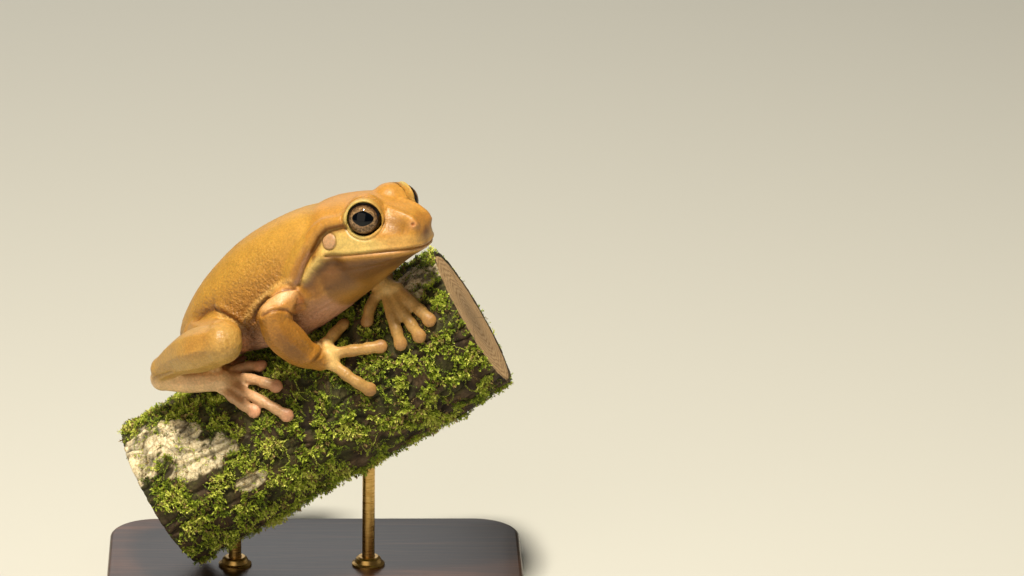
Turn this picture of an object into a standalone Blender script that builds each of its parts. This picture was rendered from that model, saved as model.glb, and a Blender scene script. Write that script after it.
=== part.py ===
"""White's tree frog, life size, sitting on a short cut length of branch above a plain stand.

Metres, +Z up, origin under the middle of the stand's base. The frog looks along +X, turned a
little towards -Y. Its flesh is modelled as rounded shapes that are fused, smoothed and then
parted into its head, torso, limbs and digits, with a thin gap between each two.
"""

import math

import bmesh
import bpy
from mathutils import Matrix, Vector, noise
from mathutils.bvhtree import BVHTree

MM = 0.001

# Driving sizes
SNOUT_VENT = 77.0 * MM
GAP = 0.3 * MM
EYE_RADIUS = 0.0585 * SNOUT_VENT
EYE_SPREAD = 0.109 * SNOUT_VENT
DISC_RADIUS = 0.0275 * SNOUT_VENT
BRANCH_RADIUS = 19.5 * MM
BRANCH_ENDS = (-38.0 * MM, 54.0 * MM)
BRANCH_RISE = math.radians(31.25)
BASE_SIZE = Vector((106.0, 70.0, 6.0)) * MM
BASE_CORNER = 12.0 * MM
ROD_RADIUS = 1.6 * MM
ROD_DEPTH = 3.5 * MM
ROD_PLACES = (-14.0 * MM, 20.0 * MM)

# Directions of the pose: turned towards -Y, and the torso tipped up
HEAD_TURN = math.radians(33.0)
TORSO_TURN = math.radians(22.0)
TORSO_PITCH = math.radians(36.0)
NECK_TILT = math.radians(20.0)
EYE_FORWARD = math.radians(25.0)
EYE_UPWARD = math.radians(8.0)

# The middle of the branch under the frog's chest, and what is placed from it
FROG_PLACE = Vector((-6.5, 0.0, 77.0)) * MM
BRANCH_MIDDLE = FROG_PLACE + Vector((0.0, 0.0, -32.65)) * MM
VENT = FROG_PLACE + Vector((-25.5, 6.3, -14.0)) * MM
EYES_MIDDLE = FROG_PLACE + Vector((23.0, -13.5, 28.0)) * MM

# Resolution of the fused shapes, and each kind of node's share of triangles
VOXEL = 0.55 * MM
FINE_VOXEL = 0.4 * MM
RING_POINTS = 20
BALL_SEGMENTS = (20, 12)
ROUND_SEGMENTS = 24
TORUS_POINTS = 20
BRANCH_RINGS = 16
BRANCH_ROUNDNESS = 10
WELD = 0.001 * MM
CORE_ROUNDS = 8
LIMB_ROUNDS = 6
SMALL_ROUNDS = 4
TRIANGLES = {
    "head": 4800, "torso": 2000, "upper_arm": 320, "forearm": 420, "hand": 400,
    "thigh": 420, "shank": 420, "foot": 460, "finger": 190, "toe": 170,
}
SPARE = 1.3

# Roundness of the sections above and below their widest line: 2 is an ellipse, more is squarer
TORSO_POWERS = (2.15, 2.1)
HEAD_POWERS = (2.5, 1.9)

# Torso sections: along from the vent, half width, back above and belly below the axis
TORSO_WIDEST = 0.45
TORSO_ROWS = (
    (-2.0, 2.0, 1.4, -2.5),
    (2.0, 6.2, 6.1, -6.0),
    (8.0, 10.0, 9.5, -7.6),
    (14.0, 12.2, 12.3, -9.0),
    (20.0, 13.6, 14.0, -11.2),
    (27.0, 14.6, 15.7, -13.4),
    (34.0, 14.6, 16.1, -14.0),
    (41.0, 14.0, 15.7, -13.6),
    (47.0, 13.2, 14.9, -13.0),
    (52.0, 12.2, 13.6, -12.6),
    (56.5, 9.6, 10.6, -11.8),
)

# Head sections: ahead of the eyes, half width, crown above and throat below them, both curved
HEAD_ROWS = (
    (-19.0, 9.5, -0.8, -19.0),
    (-15.5, 12.2, 0.9, -21.6),
    (-12.0, 13.2, 1.9, -22.6),
    (-8.0, 13.7, 3.1, -22.4),
    (-4.0, 13.6, 3.6, -21.4),
    (0.0, 12.9, 3.2, -18.8),
    (4.0, 11.5, 2.5, -14.4),
    (8.0, 9.4, 2.0, -11.0),
    (10.6, 7.1, 1.1, -9.3),
    (12.1, 4.6, -0.7, -8.3),
    (12.8, 2.2, -2.4, -6.6),
)
HEAD_WIDEST = -8.4
LEAST_ABOVE_WIDEST = 3.0
LEAST_BELOW_WIDEST = 1.5
NECK_PLACE = (-12.6, 0.0, -8.3)
MOUTH_ROWS = (
    (-8.6, 13.7, -9.8),
    (-4.0, 13.6, -9.7),
    (0.0, 12.9, -9.1),
    (4.0, 11.5, -8.1),
    (8.0, 9.4, -7.4),
    (10.7, 7.2, -7.2),
    (12.2, 4.8, -7.3),
    (13.0, 2.0, -7.4),
)
MOUTH_GROOVE = 0.42 * MM
NOSTRIL = (11.4, 3.9, -0.7)
NOSTRIL_RADIUS = 0.5 * MM
NOSTRIL_OUT = 0.1 * MM
NOSTRIL_SWELLING = (10.5, 2.9, -1.6)
NOSTRIL_SWELLING_RADIUS = 1.9 * MM
TYMPANUM = (-8.6, 13.3, -6.4)
TYMPANUM_RADIUS = 2.3 * MM
TYMPANUM_GROOVE = 0.3 * MM
EYE_OPENING = 4.1 * MM
OPENING_DEPTH = 6.0 * MM
OPENING_OUT = 4.4 * MM
LID_RING = 4.3 * MM
LID_RING_OUT = 1.6 * MM
LID_THICKNESS = 0.5 * MM
LID_BULGE = 5.35 * MM
LID_BACK = 1.4 * MM
BROW_BULGE = 4.9 * MM
BROW_SHIFT = Vector((-1.4, -2.8, 0.4)) * MM

# The fold that runs from the eye's back corner over the eardrum to the shoulder
FOLD_ROUTE = (
    (-5.6, 11.6, -1.2), (-10.0, 12.7, -2.6), (-12.9, 13.9, -6.6),
    (-15.2, 14.9, -12.0), (-16.5, 15.1, -16.2), (-17.8, 15.0, -19.8),
)
FOLD_RADIUS = 2.2 * MM
FOLD_SINK = 1.2 * MM
FOLD_SHARES = (0.6, 0.95, 1.1, 1.15, 1.1, 0.7)

# Limb routes from the frog's place: x, y, z and radius
RIGHT_ARM = {
    "shoulder": (3.5, -14.5, 7.0, 4.6),
    "arm": (-0.6, -19.6, 6.0, 4.0),
    "elbow": (-4.4, -22.9, 3.4, 3.8),
    "swell": (-2.9, -22.4, -0.4, 4.5),
    "forearm": (0.2, -21.0, -4.4, 4.6),
    "narrow": (3.6, -19.0, -8.0, 3.8),
    "wrist": (7.6, -16.8, -10.2, 2.9),
}
LEFT_ARM = {
    "shoulder": (13.0, 3.6, 7.2, 4.6),
    "arm": (15.8, 8.2, 6.0, 4.0),
    "elbow": (18.4, 11.0, 4.4, 3.8),
    "swell": (20.0, 7.6, 5.4, 4.4),
    "forearm": (21.6, 3.0, 6.2, 4.3),
    "narrow": (22.6, -2.4, 6.4, 3.5),
    "wrist": (23.4, -6.6, 6.2, 2.7),
}
RIGHT_LEG = {
    "hip": (-20.4, -2.6, -9.7, 7.0),
    "thigh": (-19.0, -12.6, -7.2, 6.6),
    "knee": (-16.6, -22.6, -2.8, 5.0),
    "calf_top": (-16.9, -24.0, -3.6, 5.2),
    "calf": (-22.4, -19.0, -6.9, 5.8),
    "shin": (-27.8, -12.0, -11.4, 4.5),
    "ankle": (-31.9, -6.2, -16.2, 3.3),
    "heel": (-32.0, -4.8, -19.1, 3.3),
    "tarsus": (-25.0, -6.8, -19.4, 3.0),
    "instep": (-17.0, -8.6, -18.4, 2.9),
}
LEG_MIRROR_PLACE = FROG_PLACE + Vector((-10.0, 0.0, 0.0)) * MM

# Digit routes on the branch: along its axis, turn round it in degrees, height of the middle line
RIGHT_FINGERS = (
    ((19.0, 50.0, 2.2), (17.0, 56.0, 1.6), (14.8, 61.0, 1.0)),
    ((21.2, 52.2, 2.2), (24.0, 57.5, 1.6), (26.6, 62.2, 1.0)),
    ((21.9, 42.6, 2.2), (27.6, 36.6, 1.6), (33.0, 31.2, 1.1)),
    ((20.4, 35.6, 2.2), (22.9, 20.4, 1.8), (25.2, 8.8, 1.1)),
)
LEFT_FINGERS = (
    ((38.3, 70.0, 2.0), (35.0, 63.0, 1.5), (32.6, 53.7, 1.0)),
    ((39.9, 65.3, 2.0), (38.8, 43.0, 1.5), (37.6, 25.8, 1.0)),
    ((41.5, 62.6, 2.0), (42.0, 44.4, 1.5), (42.7, 23.8, 1.0)),
    ((43.0, 63.0, 2.0), (45.2, 46.4, 1.5), (46.9, 30.2, 1.0)),
)
RIGHT_TOES = (
    ((-5.6, 80.0, 1.8), (-3.6, 86.0, 1.3), (-2.2, 92.0, 0.9)),
    ((-4.4, 75.5, 1.9), (-0.7, 74.4, 1.3), (2.9, 68.0, 0.9)),
    ((-5.2, 70.8, 1.9), (0.2, 57.6, 1.5), (4.7, 44.4, 0.9)),
    ((-6.4, 66.4, 2.0), (-1.1, 43.7, 1.5), (3.8, 22.1, 1.0)),
    ((-7.8, 62.6, 2.0), (-5.6, 47.8, 1.5), (-3.1, 36.1, 1.0)),
)
LEFT_TOES = (
    ((0.6, 112.0, 1.8), (3.2, 108.0, 1.3), (5.6, 105.0, 0.9)),
    ((1.6, 115.0, 1.9), (7.0, 115.0, 1.3), (11.0, 114.0, 0.9)),
    ((1.6, 119.0, 1.9), (9.0, 124.0, 1.5), (14.6, 128.0, 0.9)),
    ((0.6, 123.0, 2.0), (7.6, 136.0, 1.5), (13.6, 151.0, 1.0)),
    ((-0.8, 126.0, 2.0), (3.0, 142.0, 1.5), (6.4, 154.0, 1.0)),
)
RIGHT_PALM = (20.1, 41.8, 2.7)
LEFT_PALM = (40.9, 67.4, 2.5)
LEFT_INSTEP = (-0.8, 117.0, 2.6)
PALM_RADIUS = 2.6 * MM
FINGER_RADIUS = 1.6 * MM
TOE_RADIUS = 1.5 * MM
DIGIT_TAPER = (1.05, 0.97, 0.93)
DISC_FLATTENING = 0.42
KNUCKLE = 1.15
PALM_BONE = 0.8
WEB_THICKNESS = 1.0 * MM
WEB_NOTCH = 0.25
FINGER_WEB = 0.15
TOE_WEB = 0.3

# The branch's knobs, and the eased edge of the stand's base
KNOB_SIZE = 9.0 * MM
KNOB_RISE = 0.8 * MM
BASE_EDGE = 1.2 * MM


def spot(x, y, z):
    """A point given in millimetres from the frog's place."""
    return FROG_PLACE + Vector((x, y, z)) * MM


def flat_directions(turn):
    """Level unit vectors ahead and to the left, for something turned towards -Y."""
    ahead = Vector((math.cos(turn), -math.sin(turn), 0.0))
    left = Vector((math.sin(turn), math.cos(turn), 0.0))
    return ahead, left


HEAD_AHEAD, HEAD_LEFT = flat_directions(HEAD_TURN)
TORSO_LEVEL, TORSO_LEFT = flat_directions(TORSO_TURN)
TORSO_AHEAD = TORSO_LEVEL * math.cos(TORSO_PITCH) + Vector((0, 0, math.sin(TORSO_PITCH)))
TORSO_UP = TORSO_AHEAD.cross(TORSO_LEFT)
UP = Vector((0.0, 0.0, 1.0))
BRANCH_AXIS = Vector((math.cos(BRANCH_RISE), 0.0, math.sin(BRANCH_RISE)))
BRANCH_UP = Vector((-math.sin(BRANCH_RISE), 0.0, math.cos(BRANCH_RISE)))


def head_point(ahead, left, up):
    """A point in millimetres from the middle between the eyes."""
    return EYES_MIDDLE + (HEAD_AHEAD * ahead + HEAD_LEFT * left + UP * up) * MM


def branch_normal(turn):
    """Outward from the branch, where 0 degrees faces -Y and 90 degrees is its top."""
    angle = math.radians(turn)
    return Vector((0.0, -1.0, 0.0)) * math.cos(angle) + BRANCH_UP * math.sin(angle)


def on_branch(along, turn, height):
    """A point this many millimetres along the branch, round it and above its surface."""
    out = branch_normal(turn) * (BRANCH_RADIUS + height * MM)
    return BRANCH_MIDDLE + BRANCH_AXIS * along * MM + out


def mirrored(place):
    """The point's mirror image across the torso's middle plane."""
    off = (place - LEG_MIRROR_PLACE).dot(TORSO_LEFT)
    return place - TORSO_LEFT * off * 2.0


def clear_scene():
    for obj in list(bpy.data.objects):
        bpy.data.objects.remove(obj, do_unlink=True)


def material(name, colour, roughness, metallic=0.0):
    found = bpy.data.materials.get(name)
    if found:
        return found
    made = bpy.data.materials.new(name)
    made.use_nodes = True
    shader = made.node_tree.nodes["Principled BSDF"]
    shader.inputs["Base Color"].default_value = (*colour, 1.0)
    shader.inputs["Roughness"].default_value = roughness
    shader.inputs["Metallic"].default_value = metallic
    made.diffuse_color = (*colour, 1.0)
    return made


def collection(name):
    made = bpy.data.collections.new(name)
    bpy.context.scene.collection.children.link(made)
    return made


def evaluated_mesh(obj):
    """The object's mesh with its modifiers, as a new mesh."""
    bpy.context.view_layer.update()
    graph = bpy.context.evaluated_depsgraph_get()
    return bpy.data.meshes.new_from_object(obj.evaluated_get(graph))


def helper_object(name, data):
    """An object for building with, which no render shows."""
    obj = bpy.data.objects.new(name, data)
    HELPERS.objects.link(obj)
    obj.hide_render = True
    obj.display_type = "WIRE"
    return obj


def mesh_from(bm, name):
    mesh = bpy.data.meshes.new(name)
    bm.to_mesh(mesh)
    bm.free()
    return mesh


def loft(rings, name="loft"):
    """A closed skin through rings of points, softened by subdivision."""
    bm = bmesh.new()
    rows = [[bm.verts.new(point) for point in ring] for ring in rings]
    count = len(rows[0])
    for first, second in zip(rows, rows[1:]):
        for i in range(count):
            j = (i + 1) % count
            bm.faces.new((first[i], first[j], second[j], second[i]))
    bm.faces.new(list(reversed(rows[0])))
    bm.faces.new(rows[-1])
    bmesh.ops.recalc_face_normals(bm, faces=bm.faces)
    obj = helper_object(name, mesh_from(bm, name))
    soft = obj.modifiers.new("Soft", "SUBSURF")
    soft.levels = 2
    soft.render_levels = 2
    mesh = evaluated_mesh(obj)
    bpy.data.objects.remove(obj)
    return mesh


def section_ring(middle, side, up, width, top, bottom, powers):
    """A rounded cross-section, with its own roundness above and below its widest line."""
    points = []
    for i in range(RING_POINTS):
        turn = 2.0 * math.pi * i / RING_POINTS
        across = math.cos(turn)
        rise = math.sin(turn)
        power = powers[0] if rise >= 0.0 else powers[1]
        reach = top if rise >= 0.0 else bottom
        x = math.copysign(abs(across) ** (2.0 / power), across) * width
        y = math.copysign(abs(rise) ** (2.0 / power), rise) * reach
        points.append(middle + side * x + up * y)
    return points


def ball(place, radius, stretch=None, name="ball"):
    """A sphere, or an ellipsoid whose stretch is a matrix about its middle."""
    bm = bmesh.new()
    around, along = BALL_SEGMENTS
    bmesh.ops.create_uvsphere(bm, u_segments=around, v_segments=along, radius=radius)
    if stretch:
        bmesh.ops.transform(bm, matrix=stretch, verts=bm.verts)
    bmesh.ops.translate(bm, vec=place, verts=bm.verts)
    return mesh_from(bm, name)


def tube(places, radii, sides=8, steps=6, name="tube"):
    """A tube that runs smoothly through the places with these radii, and its rounded ends."""
    curve = bpy.data.curves.new(name, "CURVE")
    curve.dimensions = "3D"
    curve.bevel_depth = 1.0
    curve.bevel_resolution = max(sides // 2 - 2, 0)
    curve.resolution_u = steps
    curve.use_fill_caps = True
    spline = curve.splines.new("BEZIER")
    spline.bezier_points.add(len(places) - 1)
    spline.radius_interpolation = "CARDINAL"
    for point, place, radius in zip(spline.bezier_points, places, radii):
        point.co = place
        point.radius = radius
        point.handle_left_type = "AUTO"
        point.handle_right_type = "AUTO"
    obj = helper_object(name, curve)
    mesh = evaluated_mesh(obj)
    bpy.data.objects.remove(obj)
    bm = bmesh.new()
    bm.from_mesh(mesh)
    bmesh.ops.remove_doubles(bm, verts=bm.verts, dist=WELD)
    bm.to_mesh(mesh)
    bm.free()
    return mesh


def capsule(places, radii):
    """A tube with a ball at each end."""
    ends = [ball(places[0], radii[0]), ball(places[-1], radii[-1])]
    return [tube(places, radii), *ends]


def torus(place, axis, major, minor, name="torus"):
    """A ring of round section about the axis."""
    curve = bpy.data.curves.new(name, "CURVE")
    curve.dimensions = "3D"
    curve.bevel_depth = minor
    curve.bevel_resolution = 1
    spline = curve.splines.new("POLY")
    turn = UP.rotation_difference(axis)
    spline.points.add(TORUS_POINTS - 1)
    spline.use_cyclic_u = True
    for i, point in enumerate(spline.points):
        angle = 2.0 * math.pi * i / TORUS_POINTS
        flat = Vector((math.cos(angle), math.sin(angle), 0.0)) * major
        point.co = (*(place + turn @ flat), 1.0)
    obj = helper_object(name, curve)
    mesh = evaluated_mesh(obj)
    bpy.data.objects.remove(obj)
    return mesh


def joined(meshes, name):
    """All these meshes in one, still as separate closed surfaces."""
    bm = bmesh.new()
    for mesh in meshes:
        bm.from_mesh(mesh)
        bpy.data.meshes.remove(mesh)
    return mesh_from(bm, name)


def triangle_count(mesh):
    return sum(len(face.vertices) - 2 for face in mesh.polygons)


def fused(meshes, name, voxel, rounds, triangles=None):
    """The meshes melted into one smooth closed surface, thinned to about this many triangles."""
    obj = helper_object(name, joined(meshes, name))
    melt = obj.modifiers.new("Melt", "REMESH")
    melt.mode = "VOXEL"
    melt.voxel_size = voxel
    smooth = obj.modifiers.new("Smooth", "SMOOTH")
    smooth.factor = 0.5
    smooth.iterations = rounds
    whole = evaluated_mesh(obj)
    bpy.data.objects.remove(obj)
    return thinned(whole, triangles * SPARE) if triangles else whole


def thinned(mesh, triangles):
    """The mesh collapsed to about this many triangles."""
    obj = helper_object("thin", mesh)
    collapse = obj.modifiers.new("Thin", "DECIMATE")
    collapse.ratio = min(triangles / triangle_count(mesh), 1.0)
    collapse.use_collapse_triangulate = True
    result = evaluated_mesh(obj)
    bpy.data.objects.remove(obj)
    return result


def grown(mesh, by):
    """A copy with every point moved outward by this much."""
    bm = bmesh.new()
    bm.from_mesh(mesh)
    bm.normal_update()
    moves = [(vert, vert.normal * by) for vert in bm.verts]
    for vert, move in moves:
        vert.co += move
    return mesh_from(bm, "grown")


def half(mesh, place, normal):
    """The part of the mesh on the side that the normal points away from, closed at the cut."""
    bm = bmesh.new()
    bm.from_mesh(mesh)
    everything = bm.verts[:] + bm.edges[:] + bm.faces[:]
    bmesh.ops.bisect_plane(
        bm, geom=everything, dist=1e-7, plane_co=place, plane_no=normal, clear_outer=True
    )
    rim = [edge for edge in bm.edges if edge.is_boundary]
    bmesh.ops.holes_fill(bm, edges=rim, sides=0)
    bmesh.ops.triangulate(bm, faces=bm.faces)
    bmesh.ops.recalc_face_normals(bm, faces=bm.faces)
    return mesh_from(bm, "half")


def islands(bm):
    """The separate closed surfaces of a mesh, each as a list of faces."""
    left = set(bm.faces)
    found = []
    while left:
        start = left.pop()
        island = [start]
        waiting = [start]
        while waiting:
            face = waiting.pop()
            for edge in face.edges:
                for other in edge.link_faces:
                    if other in left:
                        left.remove(other)
                        island.append(other)
                        waiting.append(other)
        found.append(island)
    return found


def island_volume(faces):
    volume = 0.0
    for face in faces:
        a, b, c = (vert.co for vert in face.verts)
        volume += a.dot(b.cross(c)) / 6.0
    return volume


def keep_largest(mesh):
    """Drops everything but the largest closed surface."""
    bm = bmesh.new()
    bm.from_mesh(mesh)
    bmesh.ops.triangulate(bm, faces=bm.faces)
    found = islands(bm)
    best = max(found, key=island_volume)
    spare = [face for island in found if island is not best for face in island]
    bmesh.ops.delete(bm, geom=spare, context="FACES")
    bmesh.ops.dissolve_degenerate(bm, dist=2.0 * WELD, edges=bm.edges)
    bmesh.ops.triangulate(bm, faces=bm.faces)
    bm.to_mesh(mesh)
    bm.free()


def boxes_meet(first, second):
    return all(
        min(v.co[i] for v in first.vertices) <= max(v.co[i] for v in second.vertices)
        and min(v.co[i] for v in second.vertices) <= max(v.co[i] for v in first.vertices)
        for i in range(3)
    )


def cut(mesh, cutters, name):
    """The mesh with each cutter mesh taken away from it."""
    obj = helper_object(name, mesh)
    tools = []
    for cutter in cutters:
        if not boxes_meet(mesh, cutter):
            continue
        tool = helper_object("cutter", cutter)
        tools.append(tool)
        take = obj.modifiers.new("Cut", "BOOLEAN")
        take.operation = "DIFFERENCE"
        take.solver = "EXACT"
        take.object = tool
    result = evaluated_mesh(obj) if tools else mesh.copy()
    for tool in tools:
        bpy.data.objects.remove(tool)
    bpy.data.objects.remove(obj)
    keep_largest(result)
    return result


def eye_place(side):
    return EYES_MIDDLE + HEAD_LEFT * EYE_SPREAD * side


def eye_axis(side):
    level = HEAD_LEFT * side * math.cos(EYE_FORWARD) + HEAD_AHEAD * math.sin(EYE_FORWARD)
    return (level * math.cos(EYE_UPWARD) + UP * math.sin(EYE_UPWARD)).normalized()


def eye_mesh(side):
    return ball(eye_place(side), EYE_RADIUS, name="eyeball")


def torso_loft():
    rings = []
    for along, width, top, bottom in TORSO_ROWS:
        widest = bottom + TORSO_WIDEST * (top - bottom)
        middle = VENT + (TORSO_AHEAD * along + TORSO_UP * widest) * MM
        above = (top - widest) * MM
        below = (widest - bottom) * MM
        wide = width * MM
        rings.append(
            section_ring(middle, TORSO_LEFT, TORSO_UP, wide, above, below, TORSO_POWERS)
        )
    return loft(rings, "torso_loft")


def head_loft():
    rings = []
    for ahead, width, top, bottom in HEAD_ROWS:
        widest = max(
            min(HEAD_WIDEST, top - LEAST_ABOVE_WIDEST), bottom + LEAST_BELOW_WIDEST
        )
        middle = head_point(ahead, 0.0, widest)
        above = (top - widest) * MM
        below = (widest - bottom) * MM
        wide = width * MM
        rings.append(section_ring(middle, HEAD_LEFT, UP, wide, above, below, HEAD_POWERS))
    return loft(rings, "head_loft")


def opening(side):
    """A short round bar along the eye's axis, which opens its lids."""
    bm = bmesh.new()
    bmesh.ops.create_cone(
        bm, cap_ends=True, segments=ROUND_SEGMENTS, radius1=EYE_OPENING, radius2=EYE_OPENING,
        depth=OPENING_DEPTH,
    )
    turn = UP.rotation_difference(eye_axis(side)).to_matrix()
    bmesh.ops.rotate(bm, matrix=turn, verts=bm.verts)
    middle = eye_place(side) + eye_axis(side) * OPENING_OUT
    bmesh.ops.translate(bm, vec=middle, verts=bm.verts)
    return mesh_from(bm, "opening")


def lid_pieces(side):
    """The swelling that carries the eye, the brow behind it, and the round rim of its lids."""
    axis = eye_axis(side)
    swelling = ball(eye_place(side) - axis * LID_BACK, LID_BULGE)
    ahead, outward, up = BROW_SHIFT
    shift = HEAD_AHEAD * ahead + HEAD_LEFT * side * outward + UP * up
    brow = ball(eye_place(side) + shift, BROW_BULGE)
    rim = torus(eye_place(side) + axis * LID_RING_OUT, axis, LID_RING, LID_THICKNESS)
    return [swelling, brow, rim]


def surface_finder(mesh):
    """Finds the nearest point of the mesh, and its outward direction."""
    bm = bmesh.new()
    bm.from_mesh(mesh)
    tree = BVHTree.FromBMesh(bm)
    bm.free()
    return lambda ahead, left, up: tree.find_nearest(head_point(ahead, left, up))[:2]


def fold_pieces(side, find):
    """The fold over the eardrum, sunk into the surface of the trunk."""
    places = []
    for ahead, left, up in FOLD_ROUTE:
        place, out = find(ahead, left * side, up)
        places.append(place - out * FOLD_SINK)
    return capsule(places, [FOLD_RADIUS * share for share in FOLD_SHARES])


def nostril_swelling(side):
    ahead, left, up = NOSTRIL_SWELLING
    return ball(head_point(ahead, left * side, up), NOSTRIL_SWELLING_RADIUS)


def trunk_mesh():
    """Head and torso in one smooth surface."""
    core = fused([torso_loft(), head_loft()], "core", VOXEL, CORE_ROUNDS)
    find = surface_finder(core)
    pieces = [core]
    for side in (-1.0, 1.0):
        pieces += lid_pieces(side)
        pieces += fold_pieces(side, find)
        pieces.append(nostril_swelling(side))
    return fused(pieces, "trunk", VOXEL, SMALL_ROUNDS)


def head_cutters(head):
    """Tools for the eye sockets, the mouth line, the nostrils and the rims of the eardrums."""
    find = surface_finder(head)
    mouth = []
    for side, rows in ((-1.0, MOUTH_ROWS), (1.0, MOUTH_ROWS[::-1])):
        for ahead, left, up in rows:
            mouth.append(find(ahead, left * side, up)[0])
    radii = [MOUTH_GROOVE] * len(mouth)
    radii[0] = radii[-1] = 0.5 * MOUTH_GROOVE
    tools = [tube(mouth, radii, sides=6, steps=2)]
    for side in (-1.0, 1.0):
        tools.append(ball(eye_place(side), EYE_RADIUS + GAP))
        tools.append(opening(side))
        place, out = find(NOSTRIL[0], NOSTRIL[1] * side, NOSTRIL[2])
        tools.append(ball(place + out * NOSTRIL_OUT, NOSTRIL_RADIUS))
        place, out = find(TYMPANUM[0], TYMPANUM[1] * side, TYMPANUM[2])
        tools.append(torus(place, out, TYMPANUM_RADIUS, TYMPANUM_GROOVE))
    return tools


def head_and_torso():
    """The trunk parted by a thin gap behind the jaw, each half thinned on its own."""
    trunk = trunk_mesh()
    ahead = (HEAD_AHEAD * math.cos(NECK_TILT) + UP * math.sin(NECK_TILT)).normalized()
    neck = head_point(*NECK_PLACE)
    halves = {}
    for name, direction in (("head", -ahead), ("torso", ahead)):
        mesh = half(trunk, neck - direction * GAP / 2.0, direction)
        halves[name] = thinned(mesh, TRIANGLES[name])
    return halves


def route(joints, names):
    """Places and radii of the named joints."""
    places = [joints[name][0] for name in names]
    radii = [joints[name][1] for name in names]
    return places, radii


def joints_of(table):
    return {name: (spot(x, y, z), radius * MM) for name, (x, y, z, radius) in table.items()}


def left_leg_joints():
    """The right leg's mirror image, with its foot set on the branch's far side."""
    joints = {name: (mirrored(place), r) for name, (place, r) in joints_of(RIGHT_LEG).items()}
    joints["instep"] = (on_branch(*LEFT_INSTEP), joints["instep"][1])
    middle = (joints["heel"][0] + joints["instep"][0]) / 2.0
    joints["tarsus"] = (middle, joints["tarsus"][1])
    return joints


def segment(joints, names, kind):
    places, radii = route(joints, names)
    return fused(capsule(places, radii), kind, FINE_VOXEL, LIMB_ROUNDS, TRIANGLES[kind])


def digit(stops, radius, kind):
    """A finger or toe along the branch, ending in its disc."""
    places = [on_branch(*stop) for stop in stops]
    pieces = capsule(places, [radius * share for share in DIGIT_TAPER])
    out = branch_normal(stops[-1][1])
    flat = Matrix.Identity(3)
    for row in range(3):
        for column in range(3):
            flat[row][column] -= DISC_FLATTENING * out[row] * out[column]
    pieces.append(ball(places[-1], DISC_RADIUS, flat.to_4x4()))
    return fused(pieces, kind, FINE_VOXEL, SMALL_ROUNDS, TRIANGLES[kind])


def web(root, first, second, share):
    """A thin plate of skin between two digits."""
    reach_first = on_branch(*first[0]).lerp(on_branch(*first[1]), min(share * 2.0, 1.0))
    reach_second = on_branch(*second[0]).lerp(on_branch(*second[1]), min(share * 2.0, 1.0))
    edge = ((reach_first + reach_second) / 2.0).lerp(root, WEB_NOTCH)
    bm = bmesh.new()
    corners = [bm.verts.new(place) for place in (root, reach_first, edge, reach_second)]
    bm.faces.new(corners[:3])
    bm.faces.new((corners[0], corners[2], corners[3]))
    obj = helper_object("web", mesh_from(bm, "web"))
    plate = obj.modifiers.new("Plate", "SOLIDIFY")
    plate.thickness = WEB_THICKNESS
    plate.offset = 0.0
    mesh = evaluated_mesh(obj)
    bpy.data.objects.remove(obj)
    return mesh


def paw(start, middle, digits, radius, share, kind):
    """A palm or sole that carries its digits, with the webs between them."""
    pieces = capsule([start[0], middle[0]], [start[1], middle[1]])
    for stops in digits:
        root = on_branch(*stops[0])
        pieces += capsule([middle[0], root], [middle[1] * PALM_BONE, radius * KNUCKLE])
    for first, second in zip(digits, digits[1:]):
        pieces.append(web(middle[0], first, second, share))
    return fused(pieces, kind, FINE_VOXEL, SMALL_ROUNDS, TRIANGLES[kind])


def arm_shapes(side_name, table, palm, fingers):
    joints = joints_of(table)
    middle = (on_branch(*palm), PALM_RADIUS)
    shapes = {
        f"forearm_{side_name}": segment(
            joints, ("elbow", "swell", "forearm", "narrow", "wrist"), "forearm"
        ),
        f"upper_arm_{side_name}": segment(joints, ("shoulder", "arm", "elbow"), "upper_arm"),
        f"hand_{side_name}": paw(
            joints["wrist"], middle, fingers, FINGER_RADIUS, FINGER_WEB, "hand"
        ),
    }
    for number, stops in enumerate(fingers, 1):
        shapes[f"finger_{side_name}_{number}"] = digit(stops, FINGER_RADIUS, "finger")
    return shapes


def leg_shapes(side_name, joints, toes):
    shapes = {
        f"shank_{side_name}": segment(joints, ("calf_top", "calf", "shin", "ankle"), "shank"),
        f"thigh_{side_name}": segment(joints, ("hip", "thigh", "knee"), "thigh"),
    }
    sole = paw(joints["tarsus"], joints["instep"], toes, TOE_RADIUS, TOE_WEB, "foot")
    tarsus = capsule(*route(joints, ("heel", "tarsus", "instep")))
    shapes[f"foot_{side_name}"] = fused(
        [sole, *tarsus], "foot", FINE_VOXEL, SMALL_ROUNDS, TRIANGLES["foot"]
    )
    for number, stops in enumerate(toes, 1):
        shapes[f"toe_{side_name}_{number}"] = digit(stops, TOE_RADIUS, "toe")
    return shapes


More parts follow.
